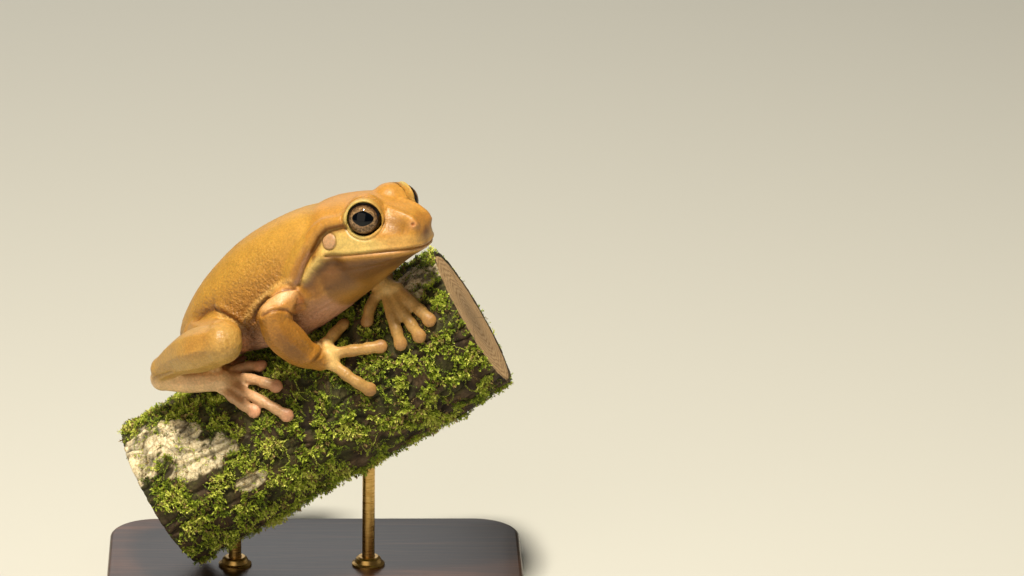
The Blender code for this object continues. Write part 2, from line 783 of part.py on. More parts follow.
def branch_mesh():
    """A cut length of branch: a slightly wandering, knobbly tube with flat ends."""
    curve = bpy.data.curves.new("branch", "CURVE")
    curve.dimensions = "3D"
    curve.bevel_depth = BRANCH_RADIUS
    curve.bevel_resolution = BRANCH_ROUNDNESS
    curve.use_fill_caps = True
    spline = curve.splines.new("POLY")
    spline.points.add(BRANCH_RINGS - 1)
    first, last = BRANCH_ENDS
    for i, point in enumerate(spline.points):
        along = first + (last - first) * i / (BRANCH_RINGS - 1)
        point.co = (*(BRANCH_MIDDLE + BRANCH_AXIS * along), 1.0)
    obj = helper_object("branch", curve)
    mesh = evaluated_mesh(obj)
    bpy.data.objects.remove(obj)
    bm = bmesh.new()
    bm.from_mesh(mesh)
    bmesh.ops.remove_doubles(bm, verts=bm.verts, dist=WELD)
    for vert in bm.verts:
        along = (vert.co - BRANCH_MIDDLE).dot(BRANCH_AXIS)
        outward = vert.co - BRANCH_MIDDLE - BRANCH_AXIS * along
        vert.co += outward.normalized() * noise.noise(vert.co / KNOB_SIZE) * KNOB_RISE
    bmesh.ops.triangulate(bm, faces=bm.faces)
    bmesh.ops.recalc_face_normals(bm, faces=bm.faces)
    bm.to_mesh(mesh)
    bm.free()
    return mesh


def base_mesh():
    """The stand's flat base, its corners rounded and its top edge eased."""
    bm = bmesh.new()
    bmesh.ops.create_cube(bm, size=1.0)
    bmesh.ops.scale(bm, vec=BASE_SIZE, verts=bm.verts)
    bmesh.ops.translate(bm, vec=(0.0, 0.0, BASE_SIZE.z / 2.0), verts=bm.verts)
    upright = [e for e in bm.edges if abs(e.verts[0].co.z - e.verts[1].co.z) > BASE_SIZE.z / 2]
    bmesh.ops.bevel(bm, geom=upright, offset=BASE_CORNER, segments=8, profile=0.5, affect="EDGES")
    top = [e for e in bm.edges if all(v.co.z > BASE_SIZE.z * 0.99 for v in e.verts)]
    bmesh.ops.bevel(bm, geom=top, offset=BASE_EDGE, segments=3, profile=0.5, affect="EDGES")
    bmesh.ops.triangulate(bm, faces=bm.faces)
    return mesh_from(bm, "base")


def rod_mesh(x, radius, foot):
    """A rod from the base up into the branch, which then trims it."""
    bm = bmesh.new()
    top = BRANCH_MIDDLE.z + math.tan(BRANCH_RISE) * (x - BRANCH_MIDDLE.x)
    height = top - foot
    bmesh.ops.create_cone(
        bm, cap_ends=True, segments=ROUND_SEGMENTS, radius1=radius, radius2=radius, depth=height
    )
    bmesh.ops.translate(bm, vec=(x, 0.0, foot + height / 2.0), verts=bm.verts)
    bmesh.ops.triangulate(bm, faces=bm.faces)
    return mesh_from(bm, "rod")


def add_node(name, mesh, finish):
    mesh.name = name
    mesh.materials.clear()
    mesh.materials.append(finish)
    mesh.shade_smooth()
    obj = bpy.data.objects.new(name, mesh)
    FROG.objects.link(obj)
    return obj


def finishes():
    return {
        "back": material("honey skin", (0.55, 0.22, 0.03), 0.4),
        "limb": material("honey limb skin", (0.52, 0.24, 0.05), 0.42),
        "pale": material("pale foot skin", (0.72, 0.42, 0.2), 0.45),
        "eye": material("eye", (0.12, 0.07, 0.04), 0.08),
        "bark": material("mossy bark", (0.1, 0.11, 0.03), 0.9),
        "base": material("dark stained wood", (0.03, 0.018, 0.012), 0.4),
        "rod": material("brass rod", (0.6, 0.42, 0.16), 0.3, 1.0),
    }


def finish_for(name, table):
    if name.startswith(("finger", "toe", "hand", "foot")):
        return table["pale"]
    if name.startswith(("upper_arm", "forearm", "thigh", "shank")):
        return table["limb"]
    return table["back"]


def budget(name):
    """How many triangles a node of flesh may have."""
    return next(most for kind, most in TRIANGLES.items() if name.startswith(kind))


def build():
    looks = finishes()
    branch = branch_mesh()
    halves = head_and_torso()
    shapes = dict(halves)
    shapes.update(leg_shapes("right", joints_of(RIGHT_LEG), RIGHT_TOES))
    shapes.update(leg_shapes("left", left_leg_joints(), LEFT_TOES))
    shapes.update(arm_shapes("right", RIGHT_ARM, RIGHT_PALM, RIGHT_FINGERS))
    shapes.update(arm_shapes("left", LEFT_ARM, LEFT_PALM, LEFT_FINGERS))

    earlier = [branch]
    for name, shape in shapes.items():
        cutters = [grown(other, GAP) for other in earlier if boxes_meet(other, shape)]
        if name == "torso":
            cutters = cutters[:1]
        if name == "head":
            cutters = head_cutters(shape)
        flesh = cut(shape.copy(), cutters, name)
        add_node(name, thinned(flesh, budget(name)), finish_for(name, looks))
        earlier.append(shape)
    add_node("perch_branch", branch, looks["bark"])
    for side_name, side in (("right", -1.0), ("left", 1.0)):
        add_node(f"eye_{side_name}", eye_mesh(side), looks["eye"])

    holes = []
    for number, x in enumerate(ROD_PLACES, 1):
        place = FROG_PLACE.x + x
        rod = rod_mesh(place, ROD_RADIUS, BASE_SIZE.z - ROD_DEPTH)
        trimmed = cut(rod, [grown(branch, GAP)], "rod")
        add_node(f"stand_rod_{number}", trimmed, looks["rod"])
        holes.append(rod_mesh(place, ROD_RADIUS + GAP, BASE_SIZE.z - ROD_DEPTH - GAP))
    add_node("stand_base", cut(base_mesh(), holes, "base"), looks["base"])


clear_scene()
FROG = collection("whites_tree_frog")
HELPERS = collection("helpers")
build()
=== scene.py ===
# %% [markdown]
# # A White's tree frog on a cut branch
# The frog sits on a short length of mossy branch above a plain stand. The solids of the frame
# give every size and place, and this lesson dresses them: one skin over the whole frog, two wet
# eyes, bark, moss, wood and brass. All sizes are written in millimetres and turned to metres.

# %% The fixed frame
import math

import bmesh
import bpy
import numpy as np
from mathutils import Matrix, Vector, noise
from mathutils.bvhtree import BVHTree


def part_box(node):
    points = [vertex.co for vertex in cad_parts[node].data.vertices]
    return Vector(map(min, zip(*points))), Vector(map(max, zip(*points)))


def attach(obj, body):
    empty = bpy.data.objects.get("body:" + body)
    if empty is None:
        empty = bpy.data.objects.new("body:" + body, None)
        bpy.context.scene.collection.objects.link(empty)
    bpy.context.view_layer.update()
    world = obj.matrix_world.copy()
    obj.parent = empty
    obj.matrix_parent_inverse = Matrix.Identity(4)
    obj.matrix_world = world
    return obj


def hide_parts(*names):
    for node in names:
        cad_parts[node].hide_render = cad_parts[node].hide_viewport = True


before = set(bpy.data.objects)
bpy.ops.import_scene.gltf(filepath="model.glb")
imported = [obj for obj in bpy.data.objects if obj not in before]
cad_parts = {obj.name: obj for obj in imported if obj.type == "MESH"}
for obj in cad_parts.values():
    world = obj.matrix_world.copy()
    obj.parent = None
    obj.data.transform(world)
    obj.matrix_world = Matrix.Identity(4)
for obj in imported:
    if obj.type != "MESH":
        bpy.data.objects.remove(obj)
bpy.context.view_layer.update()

MM = 0.001
print("the frame holds", len(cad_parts), "nodes")

# %% [markdown]
# The two eyes are the surest marks on a frog's head, so all places on it are given from the
# middle between them: millimetres ahead towards the snout, to its left, and up. The rest of the
# pose hangs on one more point, the frog's place, over the middle of the branch.

# %% Directions and places of the pose
UP = Vector((0.0, 0.0, 1.0))


def middle_of(node):
    low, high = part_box(node)
    return (low + high) / 2.0


EYES = {-1.0: middle_of("eye_right"), 1.0: middle_of("eye_left")}
EYES_MIDDLE = (EYES[1.0] + EYES[-1.0]) / 2.0
HEAD_LEFT = (EYES[1.0] - EYES[-1.0]).normalized()
HEAD_AHEAD = HEAD_LEFT.cross(UP)
FROG_PLACE = EYES_MIDDLE - Vector((23.0, -13.5, 28.0)) * MM
EYE_RADIUS = (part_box("eye_right")[1].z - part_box("eye_right")[0].z) / 2.0
EYE_FORWARD = math.radians(25.0)
EYE_UPWARD = math.radians(8.0)
TORSO_TURN = math.radians(22.0)
TORSO_PITCH = math.radians(36.0)
TORSO_LEFT = Vector((math.sin(TORSO_TURN), math.cos(TORSO_TURN), 0.0))
TORSO_AHEAD = Vector(
    (
        math.cos(TORSO_TURN) * math.cos(TORSO_PITCH),
        -math.sin(TORSO_TURN) * math.cos(TORSO_PITCH),
        math.sin(TORSO_PITCH),
    )
)
TORSO_UP = TORSO_AHEAD.cross(TORSO_LEFT)
BRANCH_RISE = math.radians(31.25)
BRANCH_AXIS = Vector((math.cos(BRANCH_RISE), 0.0, math.sin(BRANCH_RISE)))
BRANCH_UP = Vector((-math.sin(BRANCH_RISE), 0.0, math.cos(BRANCH_RISE)))
BRANCH_MIDDLE = FROG_PLACE - UP * 32.65 * MM
BRANCH_RADIUS = 19.5 * MM
BRANCH_ENDS = (-38.0 * MM, 54.0 * MM)
print("eye radius", round(EYE_RADIUS / MM, 2), "mm")
print("frog's place", [round(c / MM, 1) for c in FROG_PLACE], "mm")


def eye_axis(side):
    """The way an eye looks."""
    level = HEAD_LEFT * side * math.cos(EYE_FORWARD) + HEAD_AHEAD * math.sin(EYE_FORWARD)
    return (level * math.cos(EYE_UPWARD) + UP * math.sin(EYE_UPWARD)).normalized()


# %% [markdown]
# The camera comes first, because some marks of the skin are read off the picture as pixels. It
# looks straight across the branch and 18 degrees down, from far enough that the frog hardly
# shrinks with distance, and it is turned until the frog's place falls on its own pixel.

# %% Camera
PICTURE = (1024.0, 576.0)
FROG_PIXEL = (290.0, 300.0)
PIXELS_PER_MM = 3.97
CAMERA_DISTANCE = 1500.0 * MM
CAMERA_DOWN = math.radians(18.0)
SENSOR_MM = 36.0
FOCAL_PIXELS = PIXELS_PER_MM * CAMERA_DISTANCE / MM


def linked(name, data):
    """A new object of the scene that holds this mesh, lamp or camera."""
    obj = bpy.data.objects.new(name, data)
    bpy.context.scene.collection.objects.link(obj)
    return obj


camera_data = bpy.data.cameras.new("camera")
camera_data.sensor_width = SENSOR_MM
camera_data.lens = SENSOR_MM * FOCAL_PIXELS / PICTURE[0]
camera_data.clip_start = 0.01
camera = linked("camera", camera_data)
bpy.context.scene.camera = camera
look = Vector((0.0, math.cos(CAMERA_DOWN), -math.sin(CAMERA_DOWN)))
straight = look.to_track_quat("-Z", "Y")
frog_ray = Vector(
    (FROG_PIXEL[0] - PICTURE[0] / 2.0, PICTURE[1] / 2.0 - FROG_PIXEL[1], -FOCAL_PIXELS)
)
turned = straight @ frog_ray.rotation_difference(Vector((0.0, 0.0, -1.0)))
camera.matrix_world = Matrix.LocRotScale(FROG_PLACE - look * CAMERA_DISTANCE, turned, None)
CAMERA_TURN = turned.to_matrix()
CAMERA_PLACE = camera.matrix_world.to_translation()
bpy.context.scene.view_settings.view_transform = "Standard"
print("lens", round(camera_data.lens, 1), "mm")


def pixel_ray(pixel):
    """The direction that a pixel of the picture looks in."""
    x = pixel[0] - PICTURE[0] / 2.0
    y = PICTURE[1] / 2.0 - pixel[1]
    return (CAMERA_TURN @ Vector((x, y, -FOCAL_PIXELS))).normalized()


def pixels_of(places):
    """Where an array of places falls in the picture."""
    local = (places - np.array(CAMERA_PLACE)) @ np.array(CAMERA_TURN)
    x = PICTURE[0] / 2.0 - FOCAL_PIXELS * local[:, 0] / local[:, 2]
    y = PICTURE[1] / 2.0 + FOCAL_PIXELS * local[:, 1] / local[:, 2]
    return np.stack([x, y], axis=1)


# %% [markdown]
# Colours are written as the sRGB hex values that a paint chart shows, and one function turns
# them to the linear values that the shaders count in. Another adds a shader node of any kind with
# its settings, values and links, and returns the output that the next node reads.

# %% Colours and nodes
def linear(hex_colour):
    """An sRGB hex colour as linear red, green, blue and one."""
    parts = [int(hex_colour[i : i + 2], 16) / 255.0 for i in (1, 3, 5)]
    curve = [p / 12.92 if p <= 0.04045 else ((p + 0.055) / 1.055) ** 2.4 for p in parts]
    return (*curve, 1.0)


def per_mm(size):
    """The scale of a pattern whose details are this many millimetres across."""
    return 1.0 / (size * MM)


print("white is", linear("#FFFFFF"), "and middle grey", linear("#808080")[0])


# %% One function for every node
def add_node(tree, kind, inputs=(), stops=(), output=0, **settings):
    """Adds a node and returns one of its outputs.

    The kind is the node's type without its first word, ShaderNode. Inputs come by name or in
    order, and each takes a value or another node's output. Stops are places and hex colours.
    """
    made = tree.nodes.new("ShaderNode" + kind)
    for name, value in settings.items():
        setattr(made, name, value)
    for name, value in inputs.items() if isinstance(inputs, dict) else enumerate(inputs):
        if isinstance(value, bpy.types.NodeSocket):
            tree.links.new(value, made.inputs[name])
        else:
            made.inputs[name].default_value = value
    if stops:
        ramp = made.color_ramp
        while len(ramp.elements) < len(stops):
            ramp.elements.new(0.5)
        for element, (place, colour) in zip(ramp.elements, stops):
            element.position = place
            element.color = linear(colour)
    return made.outputs[output]


def new_finish(name, **values):
    """A material, its tree and its Principled shader with plain values set on the sockets."""
    finish = bpy.data.materials.new(name)
    finish.use_nodes = True
    shader = finish.node_tree.nodes["Principled BSDF"]
    for socket, value in values.items():
        shader.inputs[socket.replace("_", " ")].default_value = value
    return finish, finish.node_tree, shader


# %% [markdown]
# Meshes are shaped with bmesh operators and then moved point by point as arrays, much as a
# sculptor pushes clay. These helpers make an object from a bmesh, read and write its points,
# and spread a value softly over neighbouring points.

# %% Mesh helpers
def mesh_from(bm, name):
    """A new mesh that holds the bmesh."""
    mesh = bpy.data.meshes.new(name)
    bm.to_mesh(mesh)
    bm.free()
    return mesh


def object_from(bm, name, finish=None):
    """A new object that holds the bmesh, shaded smooth."""
    mesh = mesh_from(bm, name)
    mesh.shade_smooth()
    if finish:
        mesh.materials.append(finish)
    return linked(name, mesh)


def evaluated_mesh(obj):
    """The object's mesh with its modifiers, as a new mesh."""
    bpy.context.view_layer.update()
    graph = bpy.context.evaluated_depsgraph_get()
    return bpy.data.meshes.new_from_object(obj.evaluated_get(graph))


def read_points(mesh, what="co"):
    """The points of a mesh, or their normals, as an array."""
    source = mesh.vertices if what == "co" else mesh.vertex_normals
    values = np.empty(len(mesh.vertices) * 3, np.float32)
    source.foreach_get("co" if what == "co" else "vector", values)
    return values.reshape(-1, 3).astype(np.float64)


def write_points(mesh, points):
    mesh.vertices.foreach_set("co", points.astype(np.float32).ravel())
    mesh.update()


def edges_of(mesh):
    pairs = np.empty(len(mesh.edges) * 2, np.int32)
    mesh.edges.foreach_get("vertices", pairs)
    return pairs.reshape(-1, 2)


def softened(values, edges, rounds, share=0.5):
    """The values spread over neighbouring points, this many times."""
    values = np.array(values, np.float64)
    flat = values.reshape(len(values), -1)
    count = np.bincount(edges.ravel(), minlength=len(flat))[:, None]
    for _ in range(rounds):
        total = np.zeros_like(flat)
        for column in range(flat.shape[1]):
            total[:, column] = np.bincount(
                edges[:, 0], flat[edges[:, 1], column], len(flat)
            ) + np.bincount(edges[:, 1], flat[edges[:, 0], column], len(flat))
        flat = flat + (total / np.maximum(count, 1) - flat) * share
    return flat.reshape(values.shape)


def gap_to(places, place):
    """How far each of these places lies from one place."""
    return np.linalg.norm(places - np.array(place), axis=1)


def hump(distance, width):
    """1 at no distance, falling softly to 0 past this width."""
    return np.exp(-((distance / width) ** 2))


def rise(values, low, high):
    """0 below low and 1 above high, smooth between them."""
    share = np.clip((values - low) / (high - low), 0.0, 1.0)
    return share * share * (3.0 - 2.0 * share)


def paint(mesh, name, values, kind="FLOAT"):
    """Stores a number, a vector or a linear colour on each point, for the material to read."""
    if kind == "FLOAT_COLOR":
        values = np.hstack([values, np.ones((len(values), 1))])
    field = {"FLOAT": "value", "FLOAT_VECTOR": "vector", "FLOAT_COLOR": "color"}[kind]
    layer = mesh.attributes.new(name, kind, "POINT")
    layer.data.foreach_set(field, values.astype(np.float32).ravel())


# %% [markdown]
# ## The skin
# A real frog has one skin from lip to toe. The frame has a solid for each limb and digit, with a
# thin gap between each two, so copies of them are swollen until they overlap, melted together
# by a voxel remesh, and shrunk back by as much. That closes the gaps and leaves soft webs in
# the corners. Towards the tips the digits aren't swollen, so that neighbours stay apart.
# A ring for each lid is added before the melt.

# %% Nodes and sizes of the melt
SWELL = 0.36 * MM
TIP_SWELL = -0.1 * MM
TIP_LENGTH = 2.4 * MM
TIP_REACH = (4.5 * MM, 7.5 * MM)
VOXEL = 0.34 * MM
LIP_RING = 4.45 * MM
LIP_HEIGHT = 1.55 * MM
LIP_ROUND = 0.3 * MM
KEPT_APART = ("eye_", "perch_", "stand_")
FLESH = sorted(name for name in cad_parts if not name.startswith(KEPT_APART))
print("nodes under the skin", len(FLESH))


# %% Tips of the digits
def digit_tip(node):
    """The middle of the disc that ends a finger or toe."""
    shape = np.array([vert.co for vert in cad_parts[node].data.vertices])
    paw = "hand_" if node.startswith("finger") else "foot_"
    reach = gap_to(shape, middle_of(paw + node.split("_")[1]))
    return shape[reach > reach.max() - TIP_LENGTH].mean(axis=0)


TIPS = [digit_tip(node) for node in FLESH if node.startswith(("finger", "toe"))]


def swell_at(places):
    """How far flesh is swollen at these places, and shrunk a little near the tips."""
    gap = np.min([gap_to(places, tip) for tip in TIPS], axis=0)
    return TIP_SWELL + (SWELL - TIP_SWELL) * rise(gap, *TIP_REACH)


print("tips of digits", len(TIPS))


# %% Copies of the solids, and rings for the lids
def swollen_copy(node):
    """A copy of a node with its loose triangles merged and every point moved outward."""
    bm = bmesh.new()
    bm.from_mesh(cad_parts[node].data)
    bmesh.ops.remove_doubles(bm, verts=bm.verts, dist=0.001 * MM)
    mesh = mesh_from(bm, node)
    places = read_points(mesh)
    write_points(mesh, places + read_points(mesh, "normal") * swell_at(places)[:, None])
    return mesh


def lid_ring(side):
    """The round rim of the lids, a small circle spun about the eye's axis."""
    bm = bmesh.new()
    made = bmesh.ops.create_circle(bm, segments=12, radius=LIP_ROUND + SWELL)
    bmesh.ops.rotate(bm, verts=bm.verts, matrix=Matrix.Rotation(math.radians(90.0), 3, "X"))
    bmesh.ops.translate(bm, verts=bm.verts, vec=(LIP_RING, 0.0, LIP_HEIGHT))
    edges = list({edge for vert in made["verts"] for edge in vert.link_edges})
    bmesh.ops.spin(
        bm, geom=made["verts"] + edges, cent=(0, 0, 0), axis=(0, 0, 1),
        angle=math.tau, steps=48, use_merge=True,
    )
    bmesh.ops.recalc_face_normals(bm, faces=bm.faces)
    turn = UP.rotation_difference(eye_axis(side)).to_matrix().to_4x4()
    bmesh.ops.transform(bm, verts=bm.verts, matrix=Matrix.Translation(EYES[side]) @ turn)
    return mesh_from(bm, "lid_ring")


# %% The body melted into one surface
def melted(meshes, voxel, rounds):
    """The meshes in one closed surface, smoothed a little."""
    bm = bmesh.new()
    for mesh in meshes:
        bm.from_mesh(mesh)
        bpy.data.meshes.remove(mesh)
    obj = object_from(bm, "melting")
    melt = obj.modifiers.new("Melt", "REMESH")
    melt.mode = "VOXEL"
    melt.voxel_size = voxel
    smooth = obj.modifiers.new("Smooth", "SMOOTH")
    smooth.factor = 0.5
    smooth.iterations = rounds
    mesh = evaluated_mesh(obj)
    bpy.data.objects.remove(obj)
    return mesh


copies = [swollen_copy(node) for node in FLESH] + [lid_ring(-1.0), lid_ring(1.0)]
skin_mesh = melted(copies, VOXEL, 5)
points = read_points(skin_mesh)
write_points(skin_mesh, points - read_points(skin_mesh, "normal") * swell_at(points)[:, None])
print("melted skin has", len(skin_mesh.polygons), "faces")

# %% [markdown]
# The face needs finer points than the back. The faces round the eyes, the mouth, the nostrils
# and the eardrums are split once more, and only there, so that the whole skin stays light.

# %% Marks read off the picture
MOUTH_PIXELS = ((326, 256.2), (340, 255.4), (358, 254.0), (379, 252.0), (404, 249.6), (421, 246.8))
MARK_PIXELS = {
    "nostril": ((413.0, 224.5),),
    "eardrum": ((328.0, 241.5),),
    "ridge": ((384, 206), (392, 210), (402, 214), (411, 218)),
    "lore": ((386, 222), (396, 226), (404, 229)),
    "fold": (
        (343, 227), (335, 229), (327, 231), (320, 238), (316, 246), (311, 255), (306, 265),
        (301, 279),
    ),
    "jaw_ridge": ((322, 256), (316, 263), (309, 271), (304, 279)),
    "jaw_hollow": ((334, 263), (325, 270), (317, 279), (311, 289)),
}
EARDRUM_RADIUS = 2.2 * MM
SHOULDER_PIXELS = (
    (256, 312), (262, 304), (270, 297), (279, 291), (288, 288), (297, 289), (302, 298),
)
SHOULDER_REACH = (6.5 * MM, 4.0 * MM)
SNOUT_REACH = (4.5 * MM, 2.8 * MM)
print("marks of the face", len(MARK_PIXELS))


# %% Lines laid on the skin
def surface_of(mesh):
    bm = bmesh.new()
    bm.from_mesh(mesh)
    tree = BVHTree.FromBMesh(bm)
    bm.free()
    return tree


def seen_places(tree, pixels, between=6):
    """A line through pixels of the picture, laid on the surface that the camera sees there."""
    pixels = np.array(pixels, float)
    runs = np.linspace(0, len(pixels) - 1, (len(pixels) - 1) * between + 1)
    line = []
    for run in runs:
        first = min(int(run), len(pixels) - 2) if len(pixels) > 1 else 0
        pixel = pixels[first]
        if len(pixels) > 1:
            pixel = pixel + (pixels[first + 1] - pixel) * (run - first)
        hit = tree.ray_cast(CAMERA_PLACE, pixel_ray(pixel))[0]
        if hit:
            line.append(hit)
    return np.array(line)


def mirrored(places, tree=None):
    """Places on the frog's other side, across the middle of its head, laid on the surface."""
    left = np.array(HEAD_LEFT)
    away = (places - np.array(EYES_MIDDLE)) @ left
    turned_over = places - 2.0 * away[:, None] * left
    if tree is None:
        return turned_over
    return np.array([tree.find_nearest(Vector(place))[0] for place in turned_over])


def near_line(places, line):
    """The distance of each place from a line, the nearest point of it, and its run there."""
    best = np.full(len(places), np.inf)
    foot = np.zeros_like(places)
    heading = np.zeros_like(places)
    for start, end in zip(line, line[1:]):
        run = end - start
        length = max(np.linalg.norm(run), 1e-9)
        share = np.clip(((places - start) @ run) / length**2, 0.0, 1.0)
        near = start + share[:, None] * run
        gap = np.linalg.norm(places - near, axis=1)
        closer = gap < best
        best[closer] = gap[closer]
        foot[closer] = near[closer]
        heading[closer] = run / length
    return best, foot, heading


def seen_gap(places, pixels):
    """How far places lie from a line of the picture that is laid on the skin."""
    return near_line(places, seen_places(skin_tree, pixels))[0]


# %% Places on the face
skin_tree = surface_of(skin_mesh)
mouth_side = seen_places(skin_tree, MOUTH_PIXELS)
mouth_other = mirrored(mouth_side, skin_tree)
lip_gap = np.linspace(mouth_side[-1], mouth_other[-1], 9)[1:-1]
lip_front = np.array([skin_tree.find_nearest(Vector(p))[0] for p in lip_gap])
MOUTH_LINE = np.concatenate([mouth_side, lip_front, mouth_other[::-1]])
SEEN = {name: seen_places(skin_tree, pixels) for name, pixels in MARK_PIXELS.items()}
SIDES = {-1.0: SEEN, 1.0: {name: mirrored(line, skin_tree) for name, line in SEEN.items()}}
mouth_steps = np.linalg.norm(np.diff(MOUTH_LINE, axis=0), axis=1)
print("mouth line", round(float(mouth_steps.sum()) / MM, 1), "mm")

# %% Finer faces where the face has fine marks
LID_REACH = 6.6 * MM
MOUTH_REACH = 1.4 * MM
SMALL_REACH = 2.2 * MM
EARDRUM_EDGE = 0.8 * MM
FOLD_REACH = 3.4 * MM


def eye_reach(places, side):
    """How far places lie from an eye's axis, and how high along it from the eye's middle."""
    off = places - np.array(EYES[side])
    height = off @ np.array(eye_axis(side))
    across = np.linalg.norm(off - height[:, None] * np.array(eye_axis(side)), axis=1)
    return across, height


points = read_points(skin_mesh)
fine = near_line(points, MOUTH_LINE)[0] < MOUTH_REACH
for side in (-1.0, 1.0):
    across, height = eye_reach(points, side)
    fine |= (across < LID_REACH) & (height > -1.0 * MM)
    fine |= gap_to(points, SIDES[side]["nostril"][0]) < SMALL_REACH
    fine |= gap_to(points, SIDES[side]["eardrum"][0]) < EARDRUM_RADIUS + EARDRUM_EDGE
    fine |= near_line(points, SIDES[side]["fold"])[0] < FOLD_REACH
bm = bmesh.new()
bm.from_mesh(skin_mesh)
bm.verts.ensure_lookup_table()
chosen = [edge for edge in bm.edges if fine[edge.verts[0].index] and fine[edge.verts[1].index]]
bmesh.ops.subdivide_edges(bm, edges=chosen, cuts=1, use_grid_fill=True)
bm.to_mesh(skin_mesh)
bm.free()
print("refined skin has", len(skin_mesh.polygons), "faces")

# %% [markdown]
# Now the skin is sculpted. Each mark is a rule on distance: a lip is a hump beside a narrow
# groove, the eardrum a flat disc in a shallow ring, the nostril a pit on a small mound, and the
# fold over the eardrum a long roll with a sharp crease in front of it.

# %% Ground for the marks
FOLD_ZONE = (4.2 * MM, 2.4 * MM)
DISC_ZONE = (3.0 * MM, 1.8 * MM)
DISC_SHARE = 0.35
points = read_points(skin_mesh)
edges = edges_of(skin_mesh)
smooth = softened(points, edges, 30)
for side in (-1.0, 1.0):
    gap = near_line(points, SIDES[side]["fold"])[0]
    points += (smooth - points) * rise(gap, *FOLD_ZONE)[:, None]
gap = seen_gap(points, SHOULDER_PIXELS)
points += (smooth - points) * rise(gap, *SHOULDER_REACH)[:, None]
for place in (SIDES[1.0]["nostril"][0], lip_front[len(lip_front) // 2]):
    points += (smooth - points) * rise(gap_to(points, place), *SNOUT_REACH)[:, None]
for tip in TIPS:
    points += (smooth - points) * rise(gap_to(points, tip), *DISC_ZONE)[:, None] * DISC_SHARE
smooth = softened(points, edges, 6)
for side in (-1.0, 1.0):
    across, height = eye_reach(points, side)
    zone = rise(across, LID_REACH, LID_REACH - 0.6 * MM) * (height > -1.5 * MM)
    points += (smooth - points) * zone[:, None]
write_points(skin_mesh, points)
normals = softened(read_points(skin_mesh, "normal"), edges, 4)
normals /= np.linalg.norm(normals, axis=1)[:, None]
print("smoothed round eyes and folds")

# %% Lids
LID_GROOVE = 5.15 * MM
LID_GROOVE_WIDTH = 0.3 * MM
LID_GROOVE_DEPTH = 0.28 * MM


def lid_shape(points, side):
    """Points near the lid's rim, set on its round lip, with a shallow groove behind it."""
    axis = np.array(eye_axis(side))
    centre = np.array(EYES[side])
    across, height = eye_reach(points, side)
    outward = points - centre - height[:, None] * axis
    outward /= np.maximum(np.linalg.norm(outward, axis=1), 1e-9)[:, None]
    ring = centre + outward * LIP_RING + axis * LIP_HEIGHT
    off = points - ring
    gap = np.linalg.norm(off, axis=1)
    near = (gap < LIP_ROUND * 2.2) & (height > LIP_HEIGHT - LIP_ROUND)
    share = hump(gap - LIP_ROUND, 0.35 * MM) * near
    onto = ring + off / np.maximum(gap, 1e-9)[:, None] * LIP_ROUND
    points = points + (onto - points) * share[:, None]
    groove = hump(across - LID_GROOVE, LID_GROOVE_WIDTH) * (height > -0.5 * MM)
    return points - axis * (groove * LID_GROOVE_DEPTH)[:, None]


for side in (-1.0, 1.0):
    points = lid_shape(points, side)
print("lids stand", round(LIP_RING / MM, 2), "mm from the eye's axis")

# %% Lips, snout and cheeks
LIPS_FROM_MOUTH = 0.8 * MM
LIPS_WIDTH = 0.5 * MM
LIPS_RISE = (0.2 * MM, 0.26 * MM)
MOUTH_WIDTH = 0.24 * MM
MOUTH_DEPTH = 0.55 * MM
gap, foot, heading = near_line(points, MOUTH_LINE)
below = (points - foot) @ np.array(UP) < 0
lips = hump(gap - LIPS_FROM_MOUTH, LIPS_WIDTH) * np.where(below, *LIPS_RISE)
points += normals * (lips - hump(gap, MOUTH_WIDTH) * MOUTH_DEPTH)[:, None]

BROAD_MARKS = (
    ("ridge", 1.1, 0.65), ("lore", 2.2, -0.85), ("jaw_ridge", 1.5, 0.75), ("jaw_hollow", 2.2, -1.0),
)
FOLD_CREST = 1.9 * MM
FOLD_FADE = 1.4 * MM
FOLD_WIDTH = 1.5 * MM
FOLD_RISE = 0.9
STEP_EDGE = (-0.9 * MM, 0.2 * MM)
STEP_WIDTH = 1.6 * MM
STEP_DEPTH = 0.55
CREASE_WIDTH = 0.36 * MM
CREASE_DEPTH = 0.5
NOSTRIL_RISE = 0.4 * MM
MOUND_WIDTH = 1.3 * MM
PIT_WIDTH = 0.36 * MM
PIT_DEPTH = 1.1 * MM


def beside_line(points, line, side):
    """The distance from a line, and how far to its cheek's side, or less than 0 to the back's."""
    gap, foot, heading = near_line(points, line)
    off = ((points - foot) * np.cross(normals, heading)).sum(axis=1) * -side
    return gap, off


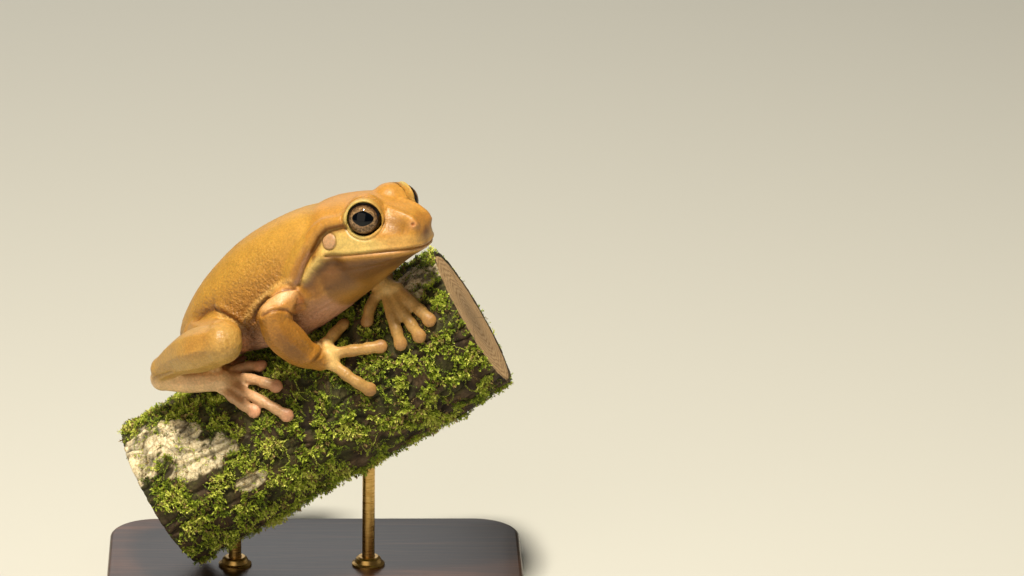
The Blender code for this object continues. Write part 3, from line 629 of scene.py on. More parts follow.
for side in (-1.0, 1.0):
    marks = SIDES[side]
    outside = ((normals @ np.array(HEAD_LEFT)) * side > -0.2).astype(float)
    for name, width, height in BROAD_MARKS:
        gap = near_line(points, marks[name])[0]
        points += normals * (hump(gap, width * MM) * height * MM * outside)[:, None]
    gap, off = beside_line(points, marks["fold"], side)
    along_it = hump(np.maximum(gap - np.abs(off), 0.0), FOLD_FADE)
    roll = hump(off + FOLD_CREST, FOLD_WIDTH) * FOLD_RISE
    step = rise(off, *STEP_EDGE) * hump(np.maximum(off, 0.0), STEP_WIDTH) * STEP_DEPTH
    crease = hump(off, CREASE_WIDTH) * CREASE_DEPTH
    points += normals * ((roll - step - crease) * MM * along_it * outside)[:, None]
    gap = gap_to(points, marks["eardrum"][0])
    free = rise(off, 0.0, 0.6 * MM)
    disc = rise(gap, EARDRUM_RADIUS, EARDRUM_RADIUS - 0.5 * MM) * 0.1 * MM
    rim = hump(gap - EARDRUM_RADIUS, 0.26 * MM) * 0.24 * MM
    points += normals * ((disc - rim) * outside * free)[:, None]
    gap = gap_to(points, marks["nostril"][0])
    mound = hump(gap, MOUND_WIDTH) * NOSTRIL_RISE
    pit = hump(gap, PIT_WIDTH) * PIT_DEPTH
    points += normals * ((mound - pit) * outside)[:, None]
write_points(skin_mesh, points)
print("face sculpted over", len(points), "points")

# %% [markdown]
# Loose skin gathers where joints bend, and the flanks and belly are pebbled. The creases are
# short lines laid on the skin where the picture shows them. The pebbles that are coarse enough
# to catch the light are real relief here, and the finer ones are left to the bump of the finish.

# %% Creases, hollows and tendons
CREASES = (
    (((262, 316), (271, 310.5), (279, 309.5), (287, 310.5), (295, 316)), 0.55, 0.45),
    (((321, 342), (322, 349), (320, 355), (313, 360)), 0.4, 0.5),
    (((153, 378), (162, 375), (172, 372)), 0.30, 0.45),
    (((297, 290), (304, 298), (308, 307)), 0.30, 0.5),
    (
        ((254, 322), (256, 312), (262, 304), (270, 298), (278, 292.5), (285, 289.5), (295, 289)),
        0.65, 0.5,
    ),
    (((195, 321), (204, 313), (213, 309), (224, 312), (236, 319), (245, 329)), 0.5, 0.6),
)
HOLLOWS = (
    (((198, 316), (206, 309), (212, 305)), -0.6, 1.6),
    (((216, 304), (227, 311), (241, 321)), 0.5, 1.1),
    (((247, 331), (249, 343)), -0.6, 1.8),
    (((262, 268), (252, 282), (240, 296)), -0.3, 2.6),
    (((246, 318), (257, 303), (268, 293), (281, 284), (290, 281)), 0.3, 0.9),
    (((299, 300), (299, 308), (296, 314)), -0.5, 1.2),
    (((317, 340), (317, 348), (314, 356), (308, 361)), 0.45, 1.0),
    (((287, 309), (294, 311), (301, 308)), -0.4, 1.2),
)
TENDONS = (
    (((196, 386), (214, 383), (232, 388), (252, 399), (270, 407)), 0.13, 0.45),
    (((205, 380), (222, 382), (240, 391), (262, 403)), 0.13, 0.45),
    (((200, 390), (220, 391), (233, 399), (246, 407)), 0.13, 0.45),
    (((322, 356), (336, 361), (348, 371), (360, 381)), 0.12, 0.5),
    (((324, 350), (342, 349), (360, 347)), 0.12, 0.5),
)
WRINKLES = (
    ((309, 300), (322, 292), (334, 287)),
    ((312, 310), (326, 301), (340, 294)),
    ((304, 318), (320, 310), (334, 303)),
    ((318, 262), (340, 263), (364, 261), (390, 257)),
    ((312, 270), (336, 272), (362, 269), (386, 263)),
    ((219, 333), (221, 342), (223, 352)),
    ((226, 335), (229, 345), (227, 354)),
)
WRINKLE_DEPTH = 0.13
WRINKLE_WIDTH = 0.5
print("creases", len(CREASES), "hollows", len(HOLLOWS), "tendons", len(TENDONS))

# %% Creases pressed into the skin
skin_tree = surface_of(skin_mesh)
points = read_points(skin_mesh)
normals = softened(read_points(skin_mesh, "normal"), edges, 2)
normals /= np.linalg.norm(normals, axis=1)[:, None]
folds = CREASES + tuple((line, WRINKLE_DEPTH, WRINKLE_WIDTH) for line in WRINKLES)
# How deep each point lies in a crease, for the painted shade laid there.
creased = np.zeros(len(points))
near_fold = np.zeros(len(points))
for pixels, depth, width in folds:
    gap = seen_gap(points, pixels)
    creased = np.maximum(creased, hump(gap, width * 0.7 * MM) * min(depth * 1.4, 0.9))
    near_fold = np.maximum(near_fold, hump(gap, width * 3.0 * MM))
    sides = hump(gap - width * 1.7 * MM, width * MM) * depth * 0.35 * MM
    points += normals * (sides - hump(gap, width * 0.6 * MM) * depth * MM)[:, None]
for pixels, height, width in HOLLOWS + TENDONS:
    gap = seen_gap(points, pixels)
    points += normals * (hump(gap, width * MM) * height * MM)[:, None]
points += (softened(points, edges, 3) - points) * near_fold[:, None]
print("creased points", int((creased > 0.3).sum()))

# %% The part that lies under each point
flesh = bmesh.new()
part_of_face = []
for number, node in enumerate(FLESH):
    flesh.from_mesh(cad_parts[node].data)
    part_of_face += [number] * (len(flesh.faces) - len(part_of_face))
flesh_tree = BVHTree.FromBMesh(flesh)
flesh.free()
part = np.array([part_of_face[flesh_tree.find_nearest(Vector(p))[2]] for p in points])
print("parts under the skin", len(set(part.tolist())))

# %% Where the skin is pebbled, and the relief
CHEST_PIXEL = (298, 296)
PEBBLE = 0.85 * MM
PEBBLE_RISE = 0.18 * MM
PEBBLED = {
    "head": 0.12, "torso": 1.0, "thigh": 0.4, "upper_arm": 0.45, "forearm": 0.35, "shank": 0.35,
    "hand": 0.2, "foot": 0.15, "finger": 0.12, "toe": 0.1,
}


def by_part(table):
    """A value or colour for each point, from the kind of part that lies under it."""
    rows = [next(value for kind, value in table.items() if node.startswith(kind)) for node in FLESH]
    return np.array(rows, float)[part]


def cells(place, size):
    """How far a place lies inside its cell of a pebbled pattern, from 0 at the joins."""
    distances = noise.voronoi(place / size)[0]
    return min((distances[1] - distances[0]) * 1.6, 1.0)


low_on_body = rise(-(normals @ np.array(TORSO_UP)), -0.75, 0.1)
on_flank = rise(np.abs(normals @ np.array(TORSO_LEFT)), 0.5, 1.0)
pebbled = softened(by_part(PEBBLED), edges, 40)
pebbled *= 0.2 + 0.8 * np.maximum(low_on_body, on_flank * 0.5)
chest_start = seen_places(skin_tree, [CHEST_PIXEL])[0]
forward = (points - chest_start) @ np.array(TORSO_AHEAD)
pebbled *= 1.0 - 0.85 * rise(forward, -2.0 * MM, 1.5 * MM)
relief = np.array([cells(Vector(p), PEBBLE) for p in points])
points += normals * ((relief - 0.5) * PEBBLE_RISE * pebbled)[:, None]
print("pebbles on", int((pebbled > 0.3).sum()), "points")

# %% Knuckles
DIGITS = [node for node in FLESH if node.startswith(("finger", "toe"))]
KNUCKLES = (4.3 * MM, 8.2 * MM)
KNUCKLE_SHAPE = ((0.9, 0.2), (0.22, -0.12))
for node, tip in zip(DIGITS, TIPS):
    mine = softened((part == FLESH.index(node)).astype(float), edges, 4)
    gap = gap_to(points, tip)
    for knuckle in KNUCKLES:
        for width, height in KNUCKLE_SHAPE:
            swelling = hump(gap - knuckle, width * MM) * height * MM
            points += normals * (swelling * mine)[:, None]
write_points(skin_mesh, points)
print("knuckles on", len(DIGITS), "digits")

# %% [markdown]
# The frog is honey brown above, with yellow lips, cheeks and lid rims, a pinkish cream belly and
# feet, and a tan eardrum. These tones are painted on the points, first by part, then as soft spots,
# and spread a little so that none has an edge. Light and shade are painted in too: painted shade
# under the jaw, on the snout, in the lore, nostrils, mouth, folds and creases, on the lower flanks,
# in the groin, armpits and hip hollows, and painted highlights on the roll over the arm, the upper
# arm and the hip fold; the hands and feet are painted lighter where they lie in shade. The finish
# adds its own fine mottling.

# %% Tones of the skin
# Tones of each part. The hands and feet are paler than the body, and are painted lighter still as
# painted light where the forearm and thigh shade them.
TONES = {
    "head": "#C08A36", "torso": "#C0913A", "thigh": "#BE8C3C", "shank": "#C0964C",
    "upper_arm": "#C48A42", "forearm": "#AC7628", "hand": "#DCB874", "foot": "#E8C290",
    "finger": "#B68E50", "toe": "#C69C72",
}
BELLY = "#BE8E70"
# Darker on the lower flanks: partly their own redder brown, partly painted shade.
FLANK = "#9E6C2A"
YELLOW = "#D4B668"
LID_YELLOW = "#CDB565"
# Painted shade in the hollow of the lore.
LORE_SHADE = "#98681F"
# Browner skin of the snout's tip, with painted shade over it.
SNOUT_BROWN_AND_SHADE = "#A0682A"
# Painted shade on the front of the snout.
SNOUT_SHADE = "#744718"
LIP_TAN = "#CCA25C"
# Painted shade under the jaw and in the hollow below the mouth's corner.
THROAT_SHADE = "#684216"
EARDRUM_TONE = "#C89E74"
# Painted shade in the nostril's pit.
PIT_SHADE = "#6E3422"
NOSTRIL_TONE = "#D29A6C"
# Painted shade in front of the fold, in the lid's groove, round the eardrum and in creases.
FOLD_SHADE = "#6A3C10"
# Painted shade in the groove of the mouth.
LIP_SHADE = "#5C3018"
# A paler band under the mouth: partly the lip's own colour, partly a painted highlight.
LOWER_LIP = "#C9A078"
FINGER_DISC = "#9C7040"
TOE_DISC = "#CE9270"
# Soft patches along lines of the picture, each a line of pixels, a width in mm, a tone and a
# strength: painted shade and painted highlights on the body, and a few other tones.
SHADES = (
    # painted shade in the groin
    (((250, 333), (253, 352)), 3.0, "#5E3A22", 0.85),
    # painted shade on the middle of the forearm
    (((284, 338), (296, 354)), 3.0, "#80521A", 0.7),
    # painted highlight on the roll of the flank over the arm
    (((246, 318), (257, 303), (268, 293), (281, 284), (290, 281)), 0.8, "#E0B468", 0.7),
    # painted highlight on top of the upper arm
    (((266, 306), (277, 297), (290, 293)), 1.7, "#E2B47C", 0.8),
    # painted shade in the armpit
    (((301, 301), (299, 312)), 1.5, "#8C4E28", 0.8),
    # painted shade in the hip hollow
    (((196, 318), (206, 310), (214, 306)), 1.6, "#8A5E24", 0.7),
    # painted highlight on the edge of the hip fold
    (((217, 307), (222, 316), (236, 321), (244, 327)), 0.7, "#DDB468", 0.7),
    (((233, 362), (243, 352), (244, 340)), 1.3, "#B87848", 0.6),
    (((176, 368), (200, 363), (222, 357)), 1.4, "#CEA85E", 0.5),
    (((190, 346), (204, 338)), 3.2, "#B87E30", 0.5),
)
print("tones by part", len(TONES), "and soft shades", len(SHADES))


# %% Ways to lay a tone on
def colour(hex_colour):
    return np.array(linear(hex_colour)[:3])


def blend_in(tone, mask, hex_colour):
    """The tone turned towards a colour where the mask is high."""
    return tone + (colour(hex_colour) - tone) * np.clip(mask, 0.0, 1.0)[:, None]


def ellipse(pixels, middle, radii, lean=0.0):
    """1 inside a leaning ellipse in the picture, fading to 0 round it."""
    angle = math.radians(lean)
    x = pixels[:, 0] - middle[0]
    y = pixels[:, 1] - middle[1]
    along = (x * math.cos(angle) + y * math.sin(angle)) / radii[0]
    over = (-x * math.sin(angle) + y * math.cos(angle)) / radii[1]
    return rise(np.sqrt(along**2 + over**2), 1.35, 0.65)


def share_of(kind, rounds):
    """1 on the parts of this kind and 0 on others, softened for this many rounds."""
    return softened(by_part({other: float(other == kind) for other in TONES}), edges, rounds)


# %% Body and head toned
tone = by_part({kind: colour(value) for kind, value in TONES.items()})
tone = softened(tone, edges, 30)
under = rise(-(normals @ np.array(TORSO_UP)), 0.2, 0.85)
on_body = share_of("torso", 30)
# The lower flanks darker and redder: own colour and painted shade.
tone = blend_in(tone, low_on_body * on_body, FLANK)
tone = blend_in(tone, under * on_body, BELLY)

on_head = share_of("head", 4)
left_half = (points - np.array(EYES_MIDDLE)) @ np.array(HEAD_LEFT) > 0
folded = np.where(left_half[:, None], mirrored(points), points)
pixels = pixels_of(folded)
face = on_head * (((folded - np.array(EYES_MIDDLE)) @ np.array(HEAD_LEFT)) < 0)
mouth_gap, mouth_foot, _ = near_line(points, MOUTH_LINE)
below_mouth = rise(-((points - mouth_foot) @ np.array(UP)), -0.1 * MM, 0.3 * MM)
NEAR_FOLD = (6.0 * MM, 3.0 * MM)
BEHIND_FOLD = (0.4 * MM, -0.4 * MM)
UNDER_LIP = (0.9 * MM, 2.6 * MM)
DEEP_THROAT = (12.0 * MM, 7.0 * MM)
CHIN_ROWS = (248, 256)
# Spots of the face: middle and radii in pixels, lean, tone and strength. The first is the snout
# tip's browner skin with painted shade, the second is painted shade on the snout's front, and the
# fourth is painted shade in the hollow of the lore.
FACE_SPOTS = (
    ((424, 222), (10, 18), 0, SNOUT_BROWN_AND_SHADE, 0.5),
    ((429, 236), (6, 13), 0, SNOUT_SHADE, 0.9),
    ((398, 243), (30, 7), -7, LIP_TAN, 0.7),
    ((397, 225), (14, 8), 12, LORE_SHADE, 0.8),
    ((350, 247), (32, 10), -3, YELLOW, 0.95),
    ((334, 240), (15, 14), 30, YELLOW, 0.8),
)
fold_gap = {side: beside_line(points, SIDES[side]["fold"], side) for side in (-1.0, 1.0)}
fold_near = np.where(left_half, fold_gap[1.0][0], fold_gap[-1.0][0])
fold_off = np.where(left_half, fold_gap[1.0][1], fold_gap[-1.0][1])
ahead_of_fold = 1.0 - rise(fold_near, *NEAR_FOLD) * rise(fold_off, *BEHIND_FOLD)
for middle, radii, lean, spot_tone, strength in FACE_SPOTS:
    mask = ellipse(pixels, middle, radii, lean) * face * strength * (1.0 - below_mouth)
    tone = blend_in(tone, mask * ahead_of_fold, spot_tone)
# Painted shade under the jaw, darker the further a point lies below the mouth.
throat_shade = below_mouth * rise(mouth_gap, *UNDER_LIP) * on_head
throat_shade *= rise(pixels[:, 1], *CHIN_ROWS)
deep = rise(mouth_gap, *DEEP_THROAT)
tone = blend_in(tone, throat_shade * ahead_of_fold * (0.5 + 0.45 * deep), THROAT_SHADE)
# Painted shade in the hollow below the mouth's corner, and the yellow of the ridge beside it.
for name, width, spot_tone, strength in (
    ("jaw_hollow", 2.2, THROAT_SHADE, 0.9), ("jaw_ridge", 1.2, YELLOW, 0.9),
):
    gap = np.minimum(*[near_line(points, SIDES[side][name])[0] for side in (-1.0, 1.0)])
    tone = blend_in(tone, hump(gap, width * MM) * strength * ahead_of_fold, spot_tone)
print("head is toned on", int((on_head > 0.5).sum()), "points")

# %% Fold, lips, lids, eardrums and nostrils toned
on_line = rise(fold_near - np.abs(fold_off), 1.5 * MM, 0.2 * MM)
# Painted shade in front of the fold.
tone = blend_in(tone, hump(fold_off + 0.1 * MM, 0.9 * MM) * on_line * on_head * 0.9, FOLD_SHADE)
# The paler lower lip: its own colour and a painted highlight.
tone = blend_in(tone, hump(mouth_gap - 0.55 * MM, 0.3 * MM) * below_mouth * 0.5, LOWER_LIP)
# Painted shade along the mouth's groove.
tone = blend_in(tone, hump(mouth_gap, 0.26 * MM) * 0.85, LIP_SHADE)
for side in (-1.0, 1.0):
    across, height = eye_reach(points, side)
    lid = rise(across, 5.6 * MM, 4.7 * MM) * rise(height, 0.0, 1.0 * MM) * 0.9
    ahead = (points - np.array(EYES[side])) @ np.array(HEAD_AHEAD)
    behind = 1.0 - 0.7 * rise(ahead, 0.5 * MM, 3.0 * MM)
    tone = blend_in(tone, lid * behind, LID_YELLOW)
    # Painted shade in the lid's groove.
    tone = blend_in(tone, hump(across - LID_GROOVE, 0.25 * MM) * (height > 0.0) * 0.35, FOLD_SHADE)
    free = rise(fold_gap[side][1], 0.0, 0.5 * MM)
    gap = gap_to(points, SIDES[side]["eardrum"][0])
    drum = rise(gap, EARDRUM_RADIUS, EARDRUM_RADIUS - 0.35 * MM) * free
    tone = blend_in(tone, drum, EARDRUM_TONE)
    # Painted shade in the ring round the eardrum.
    tone = blend_in(tone, hump(gap - EARDRUM_RADIUS, 0.22 * MM) * 0.6 * free, FOLD_SHADE)
    gap = gap_to(points, SIDES[side]["nostril"][0])
    tone = blend_in(tone, hump(gap, 1.0 * MM) * 0.7, NOSTRIL_TONE)
    # Painted shade in the nostril's pit.
    tone = blend_in(tone, hump(gap, 0.4 * MM), PIT_SHADE)
# Painted shade, painted highlights and a few tones, laid along lines on the skin.
for pixels, width, shade_tone, strength in SHADES:
    gap = seen_gap(points, pixels)
    tone = blend_in(tone, hump(gap, width * MM) * strength, shade_tone)
# Painted shade in the creases.
tone = blend_in(tone, creased, FOLD_SHADE)
print("toned", len(tone), "points")

# %% Discs of the digits
DISC_REACH = 3.0 * MM
for node, tip in zip(DIGITS, TIPS):
    gap = gap_to(points, tip)
    disc_tone = FINGER_DISC if node.startswith("finger") else TOE_DISC
    tone = blend_in(tone, rise(gap, DISC_REACH, DISC_REACH * 0.45) * 0.7, disc_tone)
paint(skin_mesh, "tone", tone, "FLOAT_COLOR")
paint(skin_mesh, "pebbled", pebbled)
print("digits with discs", len(TIPS))

# %% [markdown]
# The melt gave every part of the skin the same fine faces. Where it is flat they are merged until
# half are left, which keeps the folds and pebbles and halves the weight of the piece. The full
# skin stays at hand, because the moss is kept clear of it.

# %% Fewer faces where the skin is flat
SKIN_TRIANGLES = 196000


def triangles_in(mesh):
    return sum(len(face.vertices) - 2 for face in mesh.polygons)


dense = linked("dense_skin", skin_mesh)
thinning = dense.modifiers.new("Thin", "DECIMATE")
thinning.ratio = SKIN_TRIANGLES / triangles_in(skin_mesh)
light_mesh = evaluated_mesh(dense)
bpy.data.objects.remove(dense)
print("thinned skin has", triangles_in(light_mesh), "triangles")

# %% [markdown]
# ## Finish: moist frog skin
# The skin is thin, wet and slightly see-through. Light sinks in and comes back warmer, which a
# little subsurface scattering gives, and a thin clear coat stands for the film of water. Fine
# granules half a millimetre across break the shine into sparks, as they do on the real back,
# and the dips between them are a little darker than their tops.

# %% Moist skin
GRANULE = 0.5
FRECKLE = 0.7
MOTTLE = 5.0
GRANULE_DEPTH = 0.2 * MM
PEBBLE_DEPTH = 0.3 * MM
skin_finish, tree, shader = new_finish(
    "moist_granular_skin", Roughness=0.52, IOR=1.4, Subsurface_Weight=0.08,
    Subsurface_Radius=(1.0, 0.4, 0.15), Subsurface_Scale=0.8 * MM, Coat_Weight=0.36,
    Coat_Roughness=0.36,
)
place = add_node(tree, "TexCoord", output="Object")
tone_painted = add_node(tree, "Attribute", output="Color", attribute_name="tone")
grainy = add_node(tree, "Attribute", output="Fac", attribute_name="pebbled")
mottle, freckles = [
    add_node(
        tree, "TexNoise",
        {"Vector": place, "Scale": per_mm(size), "Detail": detail, "Roughness": roughness},
    )
    for size, detail, roughness in ((MOTTLE, 5.0, 0.6), (FRECKLE, 3.0, 0.5))
]
granules, coarse = [
    add_node(
        tree, "TexVoronoi", {"Vector": place, "Scale": per_mm(size), "Smoothness": smoothness},
        feature="SMOOTH_F1",
    )
    for size, smoothness in ((GRANULE, 0.4), (PEBBLE / MM, 0.5))
]
joins = add_node(tree, "MapRange", (coarse, 0.35, 0.75, 0.0, 0.2))
joins = add_node(tree, "Math", (joins, grainy), operation="MULTIPLY")
shade = add_node(tree, "Math", (1.0, joins), operation="SUBTRACT")
for source, *limits in (
    (mottle, 0.3, 0.7, 0.88, 1.1), (freckles, 0.35, 0.7, 0.93, 1.07),
    (granules, 0.35, 0.7, 1.04, 0.9),
):
    light_or_dark = add_node(tree, "MapRange", (source, *limits))
    shade = add_node(tree, "Math", (shade, light_or_dark), operation="MULTIPLY")
toned = add_node(tree, "VectorMath", {0: tone_painted, "Scale": shade}, operation="SCALE")
tree.links.new(toned, shader.inputs["Base Color"])
print("light and dark run from granules of", GRANULE, "mm to blotches of", MOTTLE, "mm")

# %% Relief of the skin's finish
grain_depth = add_node(tree, "MapRange", (grainy, 0.0, 1.0, 0.18, 1.0))
fine_bump = add_node(
    tree, "Bump", {"Height": granules, "Distance": GRANULE_DEPTH, "Strength": grain_depth},
    invert=True,
)
coarse_bump = add_node(
    tree, "Bump",
    {"Height": coarse, "Distance": PEBBLE_DEPTH, "Strength": grainy, "Normal": fine_bump},
    invert=True,
)
for socket in ("Normal", "Coat Normal"):
    tree.links.new(coarse_bump, shader.inputs[socket])

light_mesh.materials.clear()
light_mesh.materials.append(skin_finish)
light_mesh.shade_smooth()
skin = linked("frog_skin", light_mesh)
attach(skin, "root")
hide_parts(*FLESH)
print("skin finished, with granules", GRANULE, "mm across")

# %% [markdown]
# ## The eyes
# Each eye is a wet ball. The clear cornea is the surface itself, so the iris is painted just
# under a glossy coat: a black rim, a grey-brown iris with fine dark threads, a thin bright ring
# and a wide level pupil that looks almost navy. The pattern is drawn on a map of the eye's own
# across and up, stored on its points, so that it turns with the eye.

# %% Eyeballs
def eyeball(side):
    bm = bmesh.new()
    bmesh.ops.create_uvsphere(bm, u_segments=72, v_segments=48, radius=EYE_RADIUS)
    axis = eye_axis(side)
    across = UP.cross(axis).normalized()
    above = axis.cross(across)
    frame_of_eye = Matrix((across, above, axis)).transposed()
    bmesh.ops.rotate(bm, verts=bm.verts, matrix=frame_of_eye)
    bmesh.ops.translate(bm, verts=bm.verts, vec=EYES[side])
    name = "eyeball_right" if side < 0 else "eyeball_left"
    obj = object_from(bm, name)
    off = (read_points(obj.data) - np.array(EYES[side])) / EYE_RADIUS
    own = np.stack([off @ np.array(across), off @ np.array(above), off @ np.array(axis)], axis=1)
    paint(obj.data, "eye_map", own, "FLOAT_VECTOR")
    return obj


# %% Finish: wet eye
PUPIL_HALF_WIDTH = 0.6
PUPIL_HALF_HEIGHT = 0.43
PUPIL_RAISED = 0.1
PUPIL = "#02050C"
BRIGHT_RING = "#C8AA84"
eye_finish, tree, shader = new_finish(
    "wet_eye", Roughness=0.3, Specular_IOR_Level=0.0, Coat_Weight=0.6, Coat_Roughness=0.02
)
own = add_node(tree, "Attribute", output="Vector", attribute_name="eye_map")
split = add_node(tree, "SeparateXYZ", (own,)).node.outputs
flat = add_node(tree, "CombineXYZ", (split[0], split[1]))
reach = add_node(tree, "VectorMath", (flat,), output="Value", operation="LENGTH")
raised = add_node(tree, "Math", (split[1], PUPIL_RAISED), operation="SUBTRACT")
from_pupil = []
for run, half, power in ((split[0], PUPIL_HALF_WIDTH, 1.35), (raised, PUPIL_HALF_HEIGHT, 2.0)):
    for operation, second in (("DIVIDE", half), ("ABSOLUTE", 0.0), ("POWER", power)):
        run = add_node(tree, "Math", (run, second), operation=operation)
    from_pupil.append(run)
from_pupil = add_node(tree, "Math", from_pupil, operation="ADD")
around = add_node(tree, "Math", (split[1], split[0]), operation="ARCTAN2")
thread_map = [
    add_node(tree, "Math", (value, times), operation="MULTIPLY")
    for value, times in ((around, 2.2), (reach, 5.0))
]
threads = add_node(
    tree, "TexNoise",
    {
        "Vector": add_node(tree, "CombineXYZ", thread_map), "Scale": 3.2, "Detail": 6.0,
        "Roughness": 0.7, "Distortion": 0.8,
    },
)
thread_tone = add_node(
    tree, "ValToRGB", (threads,), ((0.38, "#4C3A2E"), (0.52, "#C8B8A6"), (0.64, "#FFF4E4"))
)
print("pupil is", round(2.0 * PUPIL_HALF_WIDTH * EYE_RADIUS / MM, 1), "mm wide")

# %% Iris and pupil
IRIS = (
    (0.35, "#B09070"), (0.55, "#A88E6C"), (0.68, "#9C8260"), (0.77, "#6A5038"), (0.82, "#120D0A"),
    (0.92, "#060404"),
)
iris = add_node(tree, "ValToRGB", (reach,), IRIS)
speckles = add_node(
    tree, "TexNoise", {"Vector": own, "Scale": 9.0, "Detail": 5.0, "Roughness": 0.7}
)
speckle_shade = add_node(tree, "MapRange", (speckles, 0.4, 0.6, 0.4, 1.5))
iris = add_node(tree, "VectorMath", {0: iris, "Scale": speckle_shade}, operation="SCALE")
iris = add_node(
    tree, "Mix", {0: 0.75, 6: iris, 7: thread_tone}, output=2, data_type="RGBA",
    blend_type="MULTIPLY",
)
for over, *limits in ((BRIGHT_RING, 1.2, 1.04, 0.0, 0.2), (PUPIL, 1.06, 0.94, 0.0, 1.0)):
    share = add_node(tree, "MapRange", (from_pupil, *limits))
    iris = add_node(tree, "Mix", {0: share, 6: iris, 7: linear(over)}, output=2, data_type="RGBA")
tree.links.new(iris, shader.inputs["Base Color"])

for side, node in ((-1.0, "eye_right"), (1.0, "eye_left")):
    ball = eyeball(side)
    ball.data.materials.append(eye_finish)
    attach(ball, "root")
    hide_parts(node)
print("two eyeballs of radius", round(EYE_RADIUS / MM, 2), "mm")

# %% [markdown]
# ## The branch
# The perch is a sawn length of an old branch: furrowed bark over a core of pale wood. It starts
# as a fine open cylinder whose points are pushed by noise. Furrows are noise drawn out along the
# branch. The knobs follow the same rule as the solid below, so the digits still rest on it. Each
# sawn end is drawn inwards in rings, with a small step where bark meets wood.

# %% Bark surface
AROUND = 360
ALONG = 210
KNOB_SIZE = 9.0 * MM
KNOB_RISE = 0.8 * MM
FURROW_DEPTH = 0.85 * MM
FURROW_LENGTH = 11.0 * MM
FURROWS_ROUND = 5.6
ROUGH_SIZE = 2.2 * MM
ROUGH_RISE = 0.28 * MM


def branch_rows(places):
    """How far along the branch places lie, their turn round it, and their way outward."""
    off = places - np.array(BRANCH_MIDDLE)
    along = off @ np.array(BRANCH_AXIS)
    outward = off - along[:, None] * np.array(BRANCH_AXIS)
    radius = np.linalg.norm(outward, axis=1)
    outward /= np.maximum(radius, 1e-9)[:, None]
    turn = np.arctan2(outward @ np.array(BRANCH_UP), -outward[:, 1])
    return along, turn, outward, radius


def knob(place):
    return noise.noise(place / KNOB_SIZE) * KNOB_RISE


def furrow(along, turn):
    """Ridged noise drawn out along the branch: near 1 in a furrow and 0 between them."""
    round_place = Vector((math.cos(turn), math.sin(turn), 0.0)) * FURROWS_ROUND
    round_place.z = along / FURROW_LENGTH
    warp = noise.noise(round_place * 0.7) * 0.9
    value = noise.noise(Vector((round_place.x + warp, round_place.y - warp, round_place.z)))
    return max(0.0, 1.0 - abs(value) * 5.0)


bm = bmesh.new()
length = BRANCH_ENDS[1] - BRANCH_ENDS[0]
bmesh.ops.create_cone(
    bm, cap_ends=False, segments=AROUND, radius1=BRANCH_RADIUS, radius2=BRANCH_RADIUS, depth=length
)
lengthwise = [e for e in bm.edges if abs(e.verts[0].co.z - e.verts[1].co.z) > length / 2]
bmesh.ops.subdivide_edges(bm, edges=lengthwise, cuts=ALONG, use_grid_fill=True)
END_RINGS = (0.994, 0.93, 0.915, 0.9, 0.75, 0.6, 0.45, 0.3, 0.16, 0.06)
for end in (-1.0, 1.0):
    rim = [e for e in bm.edges if e.is_boundary and e.verts[0].co.z * end > 0]
    previous = 1.0
    for share in END_RINGS:
        ring = bmesh.ops.extrude_edge_only(bm, edges=rim)["geom"]
        verts = [g for g in ring if isinstance(g, bmesh.types.BMVert)]
        rim = [g for g in ring if isinstance(g, bmesh.types.BMEdge)]
        step = share / previous
        bmesh.ops.scale(bm, verts=verts, vec=(step, step, 1.0))
        previous = share
    bmesh.ops.edgeloop_fill(bm, edges=rim)
bmesh.ops.recalc_face_normals(bm, faces=bm.faces)
lie = UP.rotation_difference(BRANCH_AXIS).to_matrix().to_4x4()
middle = BRANCH_MIDDLE + BRANCH_AXIS * (BRANCH_ENDS[0] + BRANCH_ENDS[1]) / 2.0
bmesh.ops.transform(bm, verts=bm.verts, matrix=Matrix.Translation(middle) @ lie)
bark = object_from(bm, "bark")
print("bark has", len(bark.data.polygons), "faces")

# %% Relief of bark and of sawn ends
points = read_points(bark.data)
along, turn, outward, radius = branch_rows(points)
on_side = radius > BRANCH_RADIUS * 0.985
lift = np.zeros(len(points))
furrowed = np.zeros(len(points))
for i in np.nonzero(on_side)[0]:
    place = Vector(points[i])
    furrowed[i] = furrow(along[i], turn[i])
    rough = noise.fractal(place / ROUGH_SIZE, 1.0, 2.0, 4)
    lift[i] = knob(place) - furrowed[i] * FURROW_DEPTH + (rough - 0.6) * ROUGH_RISE
points += outward * lift[:, None]
inner = ~on_side
sawn = np.array([noise.noise(Vector(p) / (2.5 * MM)) for p in points]) * 0.12 * MM
bark_ring = (radius > BRANCH_RADIUS * 0.922) & inner
sink = np.where(inner, 0.15 * MM + sawn, 0.0) + np.where(bark_ring, 0.35 * MM, 0.0)
toward_middle = np.where(along > 0, -1.0, 1.0)
points += np.array(BRANCH_AXIS) * (toward_middle * sink)[:, None]
write_points(bark.data, points)
print("furrows over", int((furrowed > 0.4).sum()), "points")

# %% [markdown]
# Pale crust covers patches of the bark, where lichen and bare dry bark show, and moss covers the
# rest. Both follow soft masks: the pale patches lie where the picture has them, and a few more
# lie on the sides that it hides.

# %% Masks of crust and moss
PALE_PIXELS = (
    ((158, 444), (48, 18), -22), ((206, 456), (38, 17), -25), ((136, 472), (24, 15), -20),
    ((413, 284), (30, 15), -38), ((252, 480), (16, 8), -25),
)
HIDDEN_PALE = ((-20.0, 150.0, 7.0), (30.0, 165.0, 5.0), (2.0, 215.0, 6.0), (-28.0, 275.0, 6.0))
HIDDEN_STRETCH = 1.9
PALE_CLEAR_OF_MOSS = 0.8


def soft_noise(places, size, seed):
    shift = Vector((seed, -seed, seed * 0.5))
    return np.array([noise.noise(Vector(p) / (size * MM) + shift) for p in places])


